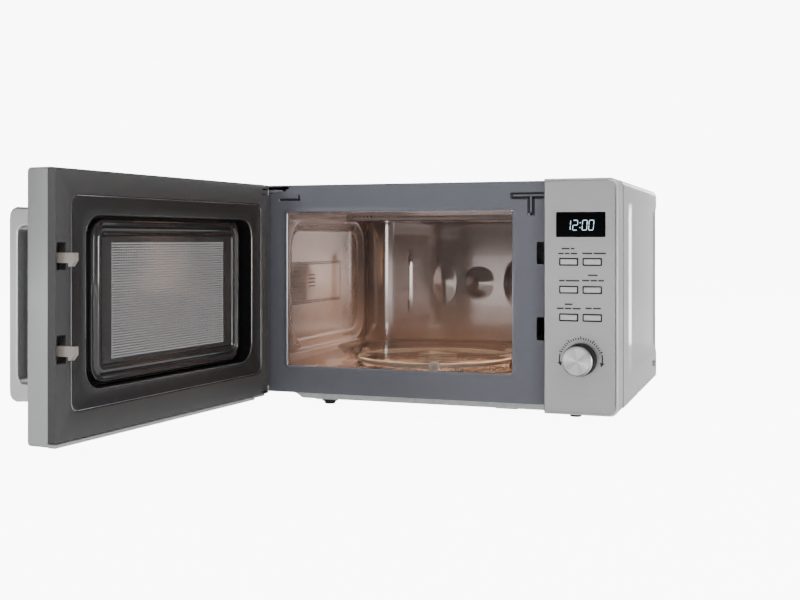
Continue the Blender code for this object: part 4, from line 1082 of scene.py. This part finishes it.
def door_frame():
    """The dark inner frame: a round hinge edge, a fine step, a crowned slope in a darker copy of the frame's
    plastic as painted shade, and a bright lip inside it.
    """
    tall = (0.017, 0.2575)
    loops = grown(DOOR_X, tall, 0.002, [(0, FRAME_BACK)])
    for step in range(9):
        angle = math.radians(90 * step / 8)
        left = DOOR_X[0] + EDGE_RADIUS * (1 - math.cos(angle))
        level = DOOR_INNER - EDGE_RADIUS * (1 - math.sin(angle))
        inset = 0.0006 * step / 8
        outline = rounded((left, DOOR_X[1] - inset), (tall[0] + inset, tall[1] - inset), 0.002, 8)
        loops.append((outline, level))
    loops += grown(*STEP, [(0.0006, DOOR_INNER), (0, DOOR_INNER - 0.0004), (0, FRAME_BACK)])
    outer, inner = rounded(*STEP, 8), rounded(*CHOKE, 8)
    crown = ((0, 0.0202), (0.03, 0.0203), (0.07, 0.0208), (0.12, 0.0206), (0.22, 0.0200), (0.36, 0.0191))
    crown += ((0.52, 0.0183), (0.70, 0.0177), (0.90, 0.0176), (0.94, 0.0180), (0.97, 0.0180), (1, 0.0174))
    slope = [(outer, FRAME_BACK)]
    for share, level in (*crown, (1, 0.0160), (1, FRAME_BACK)):
        points = [(a + (c - a) * share, b + (d - b) * share) for (a, b), (c, d) in zip(outer, inner)]
        slope.append((points, level))
    # The slope is the same moulding as the trim, darker as painted shade.
    door_piece("door_inner_slope", slope, "slope_painted_shade", sharp=50)
    made = door_piece("door_inner_trim", loops, "dark_plastic", stands_for=["door_inner_frame"], sharp=50)
    slots = bmesh.new()
    for limits in LATCH_SLOTS_Z:
        block((0.333, 0.345), (0.010, 0.030), limits, slots)
    for arm in HINGE_ARMS:
        hinge_slot(arm, 0.0060, (0.010, 0.030), slots)
    cut(made, slots)


def door_beads():
    """The wall and lip of the choke, the groove and bead of the step, and the line on the hinge edge: wall
    and groove near-black as painted shade, lip, bead and line lighter as painted highlights.
    """
    wall = ((-0.0004, 0.0012), (-0.0004, 0.0168), (-0.0001, 0.0168), (-0.0001, 0.0012))
    lip = ((0.0001, 0.0176), (0.0003, 0.0182), (0.0008, 0.0183), (0.0011, 0.0176))
    groove = ((-0.0001, 0.0204), (-0.0001, 0.0212), (0.0004, 0.0212), (0.0004, 0.0204))
    bead = ((-0.0003, 0.0200), (-0.0005, 0.0208), (-0.0010, 0.0211), (-0.0016, 0.0207), (-0.0017, 0.0198))
    # The choke's wall near-black: painted shade of the deep channel.
    door_piece("door_choke_wall", grown(*CHOKE, wall), "channel_painted_shade")
    # The choke's lip in lighter paint: painted highlight.
    door_piece("door_choke_lip", grown(*CHOKE, lip), "edge_painted_highlight")
    # The step's groove near-black: painted shade.
    door_piece("door_step_painted_shade", grown(*STEP, groove), "channel_painted_shade")
    # The step's bead in lighter paint: painted highlight.
    door_piece("door_step_bead", grown(*STEP, bead), "edge_painted_highlight")
    centre = (DOOR_X[0] + EDGE_RADIUS, DOOR_INNER - EDGE_RADIUS)
    line = arc(centre, EDGE_RADIUS, 142, 166) + arc(centre, EDGE_RADIUS + 0.0004, 166, 142)
    # A light strip on the hinge edge's rounding: painted highlight.
    piece("door_edge_painted_highlight", prism(line, (0.019, 0.2555), plane="XY"), "line_painted_highlight", "door", DOOR)


def hinge_slot(arm, end, depth, bm):
    """Room for a hinge arm in the door's hinge edge."""
    block((DOOR_X[0] - 0.001, end), depth, (arm - 0.003, arm + 0.0045), bm)


def cut(target, bm):
    """Cuts a hidden helper out of a piece."""
    bmesh.ops.recalc_face_normals(bm, faces=bm.faces)
    helper = mesh_object("cutter", bm)
    helper.matrix_world = target.matrix_world
    change = target.modifiers.new("cut", "BOOLEAN")
    change.solver = "EXACT"
    change.object = helper
    bpy.context.view_layer.update()
    graph = bpy.context.evaluated_depsgraph_get()
    baked = bpy.data.meshes.new_from_object(target.evaluated_get(graph))
    target.modifiers.remove(change)
    used_up = (target.data, helper.data)
    target.data = baked
    baked.name = used_up[0].name
    bpy.data.objects.remove(helper)
    for mesh in used_up:
        bpy.data.meshes.remove(mesh)


def door_screen():
    """The pressed chassis: a deep channel, a raised window with a double ridge, and a perforated screen."""
    ridges = ((-0.0172, 0.0098), (-0.0164, 0.0098), (-0.0154, 0.0101), (-0.0142, 0.0108), (-0.0130, 0.0114))
    ridges += ((-0.0118, 0.0116), (-0.0104, 0.0114), (-0.0086, 0.0104), (-0.0074, 0.0094), (-0.0064, 0.0090))
    ridges += ((-0.0056, 0.0093), (-0.0046, 0.0102), (-0.0036, 0.0109), (-0.0024, 0.0112), (-0.0012, 0.0112))
    ridges += ((-0.0004, 0.0107), (0.0, 0.0094))
    back = ((-0.0008, -0.0008), (-0.0008, 0.0082), (-PLATEAU_RIM, 0.0082))
    loops = grown(*PLATEAU, [*ridges, (0, 0.0006), (0.0006, 0)], 6)
    loops += grown(*CHOKE, ((-0.0006, 0), (0, 0.0006), (0, 0.0135)), 6)
    loops += [(rounded((0.014, 0.320), (0.024, 0.248), 0.004, 6), level) for level in (0.0135, 0.0127)]
    loops += grown(*CHOKE, ((0.0008, 0.0127), (0.0008, -0.0008)), 6)
    loops += grown(*PLATEAU, back, 6)
    door_piece("door_choke", loops, "screen_paint", stands_for=["door_chassis"])
    lines = []
    for (low, high), limits in zip((MESH_X, MESH_Z), PLATEAU):
        count = round((high - low) / MESH_PITCH)
        inner = [low + (high - low) * index / count for index in range(count + 1)]
        lines.append([limits[0] + PLATEAU_RIM, *inner, limits[1] - PLATEAU_RIM])

    def holes(x, z):
        return 0.00098 * (MESH_X[0] < x < MESH_X[1] and MESH_Z[0] < z < MESH_Z[1])

    bm = sheet(*lines, lambda x, z, h: (x, 0.0098 - h, z), holes=holes, thickness=0.0002)
    piece("door_mesh", bm, "mesh_paint", "door", DOOR)
    film = grown(*PLATEAU, [(-0.0175, PLATEAU_LEVEL + 0.0003), (-0.0175, PLATEAU_LEVEL + 0.0009)], 6)
    piece("door_film", stack(film, "XZ"), "clear_film", "door", DOOR, ["door_inner_film"])


def door_shell():
    """The silver outer tray with soft edges, and the smoked pane set in it."""
    tall = (0.013, BODY_TOP)
    loops = grown((0.034, 0.298), (0.058, 0.216), 0.004, ((0, -0.0072), (0, -0.0096), (0.0006, DOOR_OUTER)))
    edge = ((0.0028, 0.0024, DOOR_OUTER), (0.0022, 0.0030, DOOR_OUTER), (0.0010, 0.0032, -0.0098))
    edge += ((0.0003, 0.0036, -0.0090), (0, 0.0038, -0.0080), (0, 0.0038, 0.0135))
    for inset, radius, level in (*edge, (0.0025, 0.0018, 0.0135), (0.0025, 0.0018, -0.0072)):
        limits = [(low + inset, high - inset) for low, high in (DOOR_X, tall)]
        loops.append((rounded(*limits, radius, 8), level))
    shell = door_piece("door_tray", loops, "silver_plastic", stands_for=["door_bezel"])
    notches = bmesh.new()
    for arm in HINGE_ARMS:
        hinge_slot(arm, DOOR_X[0] + 0.004, (-0.0072, 0.0150), notches)
    cut(shell, notches)
    lip = block((0.0210, 0.3461), (0.0130, 0.0214), (0.0131, 0.0167))
    piece("door_bottom_lip", lip, "silver_plastic", "door", DOOR, bevel=0.0006)
    bosses = bmesh.new()
    for arm, side in zip(HINGE_ARMS, (-1, 1)):
        near, far = sorted(arm + 0.00075 + side * away for away in (0.0018, 0.0140))
        turned([(0.0026, near), (0.0075, near), (0.0075, far), (0.0026, far)], "XY", steps=32, bm=bosses)
    piece("door_hinge_bosses", bosses, "dark_plastic", "door", DOOR)
    bm = prism(rounded((0.026, 0.306), (0.050, 0.224), 0.003, 8), (-0.0069, -0.0039))
    piece("door_pane", bm, "smoked_glass", "door", DOOR, ["door_outer_glass"], bevel=0.0004)


def handle():
    """A brushed bar on two posts, with soft edges."""
    face, low, high = DOOR_OUTER - GAP, 0.048, 0.224
    inside = ((0, 0.002), (0, 0.016), (0.022, 0.018), (0.0255, 0.0215), (0.026, 0.026))
    outside = ((0.028, 0), (0.033, 0.002), (0.0355, 0.006), (0.036, 0.012))
    outline = [(face - out, low + up) for out, up in inside]
    outline += [(face - out, high - up) for out, up in (*reversed(inside), *outside)]
    outline += [(face - out, low + up) for out, up in reversed(outside)]
    bm = prism(outline, HANDLE_X, plane="YZ")
    bar = {"stands_for": ["door_handle"], "slot": "brushed_steel", "bevel": 0.0022, "steps": 4}
    piece("door_pull", bm, "brushed_upright", "door", DOOR, **bar)


# Everything kept from the CAD model


def carried_over():
    """Detailed finishes and soft edges for the CAD nodes that are shown as they are."""
    for node in frame["nodes"].values():
        if node.hide_render:
            continue
        found = [slot.material.name.split(".")[0] for slot in node.material_slots if slot.material]
        finish = FINISHES.get(found[0] if found else "", FINISHES["zinc_steel"])
        node.data.materials.clear()
        node.data.materials.append(finish)
        soften(node, 0.0002, 1, 60)


# Studio


def softbox(name, location, target, size, power, colour=(1, 1, 1)):
    light = bpy.data.lights.new(name, "AREA")
    light.shape = "RECTANGLE"
    light.size, light.size_y = size
    light.energy = power
    light.color = colour
    made = in_scene(name, light)
    made.location = location
    made.rotation_euler = (Vector(target) - Vector(location)).to_track_quat("-Z", "Y").to_euler()
    return made


def card_sheet(profile, wide):
    """A sheet between two x positions, from its profile of (y, z) points."""
    bm = bmesh.new()
    rows = [[bm.verts.new((x, y, z)) for y, z in profile] for x in wide]
    for index in range(len(profile) - 1):
        bm.faces.new((rows[0][index], rows[1][index], rows[1][index + 1], rows[0][index + 1]))
    return bm


def glowing_paper(name, strength, bm):
    """A pale glowing surface of the studio."""
    made = mesh_object(name, bm)
    made.data.shade_smooth()
    light = {"emission_color": (1, 1, 1, 1), "emission_strength": strength}
    paper = material(name + "_paper", (0.86, 0.86, 0.86), 0.7, vary=0.01, bump=0.0, **light)
    made.data.materials.append(paper)
    return made


REFLECTED = (
    ("front_floor_card", 2.8, [(-4.6, 0.10), (-4.5, 0.0), (-1.42, 0.0)], (-6.0, 6.0)),
    ("near_floor_card", 0.62, [(-1.42, 0.0), (0.34, 0.0)], (-6.0, 6.0)),
    ("back_card", 0.52, [(0.34, 0.0), (2.6, 0.0), (3.4, 0.8), (3.4, 4.0)], (-6.0, 6.0)),
    ("side_card", 9.0, [(0.93, 0.002), (0.94, 0.6)], (0.256, 0.288)),
)

SOFTBOXES = (
    ("key_light", (1.0, -2.4, 2.3), (0, 0.0, 0.1), (1.3, 1.0), 44),
    ("left_light", (-1.5, -2.4, 1.3), (0.1, 0, 0.15), (0.5, 0.9), 20),
    ("front_strip", (1.15, -1.95, 0.22), (0.0, 0.2, 0.15), (0.62, 0.40), 7),
    ("right_light", (2.4, 0.1, 0.34), (0.1, 0.1, 0.15), (0.9, 0.5), 22),
    ("back_light", (0.0, 1.4, 2.6), (0, 0.1, 0.2), (2.5, 1.0), 20),
)
# In oven coordinates: where from, where to, the size, power and colour, and the spread in degrees.
CAVITY_LIGHTS = {
    "roof": ((-0.03, 0.150, 0.2160), (-0.03, 0.151, 0.04), (0.22, 0.09), 1.3, (1.0, 0.64, 0.42), 110),
    "side": ((0.098, 0.120, 0.160), (-0.168, 0.135, 0.115), (0.12, 0.08), 0.12, (1.0, 0.80, 0.68), 60),
    "bounce": ((-0.04, 0.060, 0.066), (-0.04, 0.075, 0.226), (0.2, 0.08), 0.4, (1.0, 0.86, 0.80), 120),
}


def studio():
    """Pale floor, soft light from the front and both sides, and the warm cavity lamp."""
    reach, bend = 16, 6
    angles = [math.radians(15 * step) for step in range(1, 7)]
    sweep = [(reach + bend * math.sin(angle), bend - bend * math.cos(angle)) for angle in angles]
    dome = [(0, 0), (reach, 0), *sweep, (reach + bend, 14), (0, 20)]
    floor = glowing_paper("floor", 9.0, turned(dome, "XY"))
    for name, strength, profile, wide in REFLECTED:
        card = glowing_paper(name, strength, card_sheet(profile, wide))
        card.visible_camera = card.visible_transmission = False
        card.visible_diffuse = card.visible_shadow = False
    floor.visible_diffuse = floor.visible_glossy = floor.visible_shadow = False
    world = bpy.data.worlds.new("studio")
    bpy.context.scene.world = world
    world.use_nodes = True
    sky = world.node_tree.nodes["Background"].inputs
    sky["Color"].default_value = (1, 1, 1, 1)
    sky["Strength"].default_value = 0.26
    for setting in SOFTBOXES:
        softbox(*setting)
    for name, (location, target, size, power, colour, spread) in CAVITY_LIGHTS.items():
        ends = [OVEN @ Vector(end) for end in (location, target)]
        made = softbox(f"cavity_{name}_light", *ends, size, power, colour)
        made.visible_glossy = False
        made.data.spread = math.radians(spread)


def camera():
    lens = bpy.data.cameras.new("camera")
    lens.lens = 49.8
    lens.sensor_width = 36
    lens.shift_x = 0.00375
    lens.shift_y = -0.075
    made = in_scene("camera", lens)
    made.location = OVEN @ Vector((0.384, -1.1734, 0.194))
    made.rotation_euler = (math.radians(90), 0, math.radians(19.5))
    bpy.context.scene.camera = made


casing()
face_plate()
plate_details()
rear()
bottom()
cavity()
turntable()
panel_housing()
panel_face()
display()
buttons()
printing()
knob()
door_frame()
door_beads()
door_screen()
door_shell()
handle()
carried_over()
studio()
camera()

bpy.context.view_layer.update()
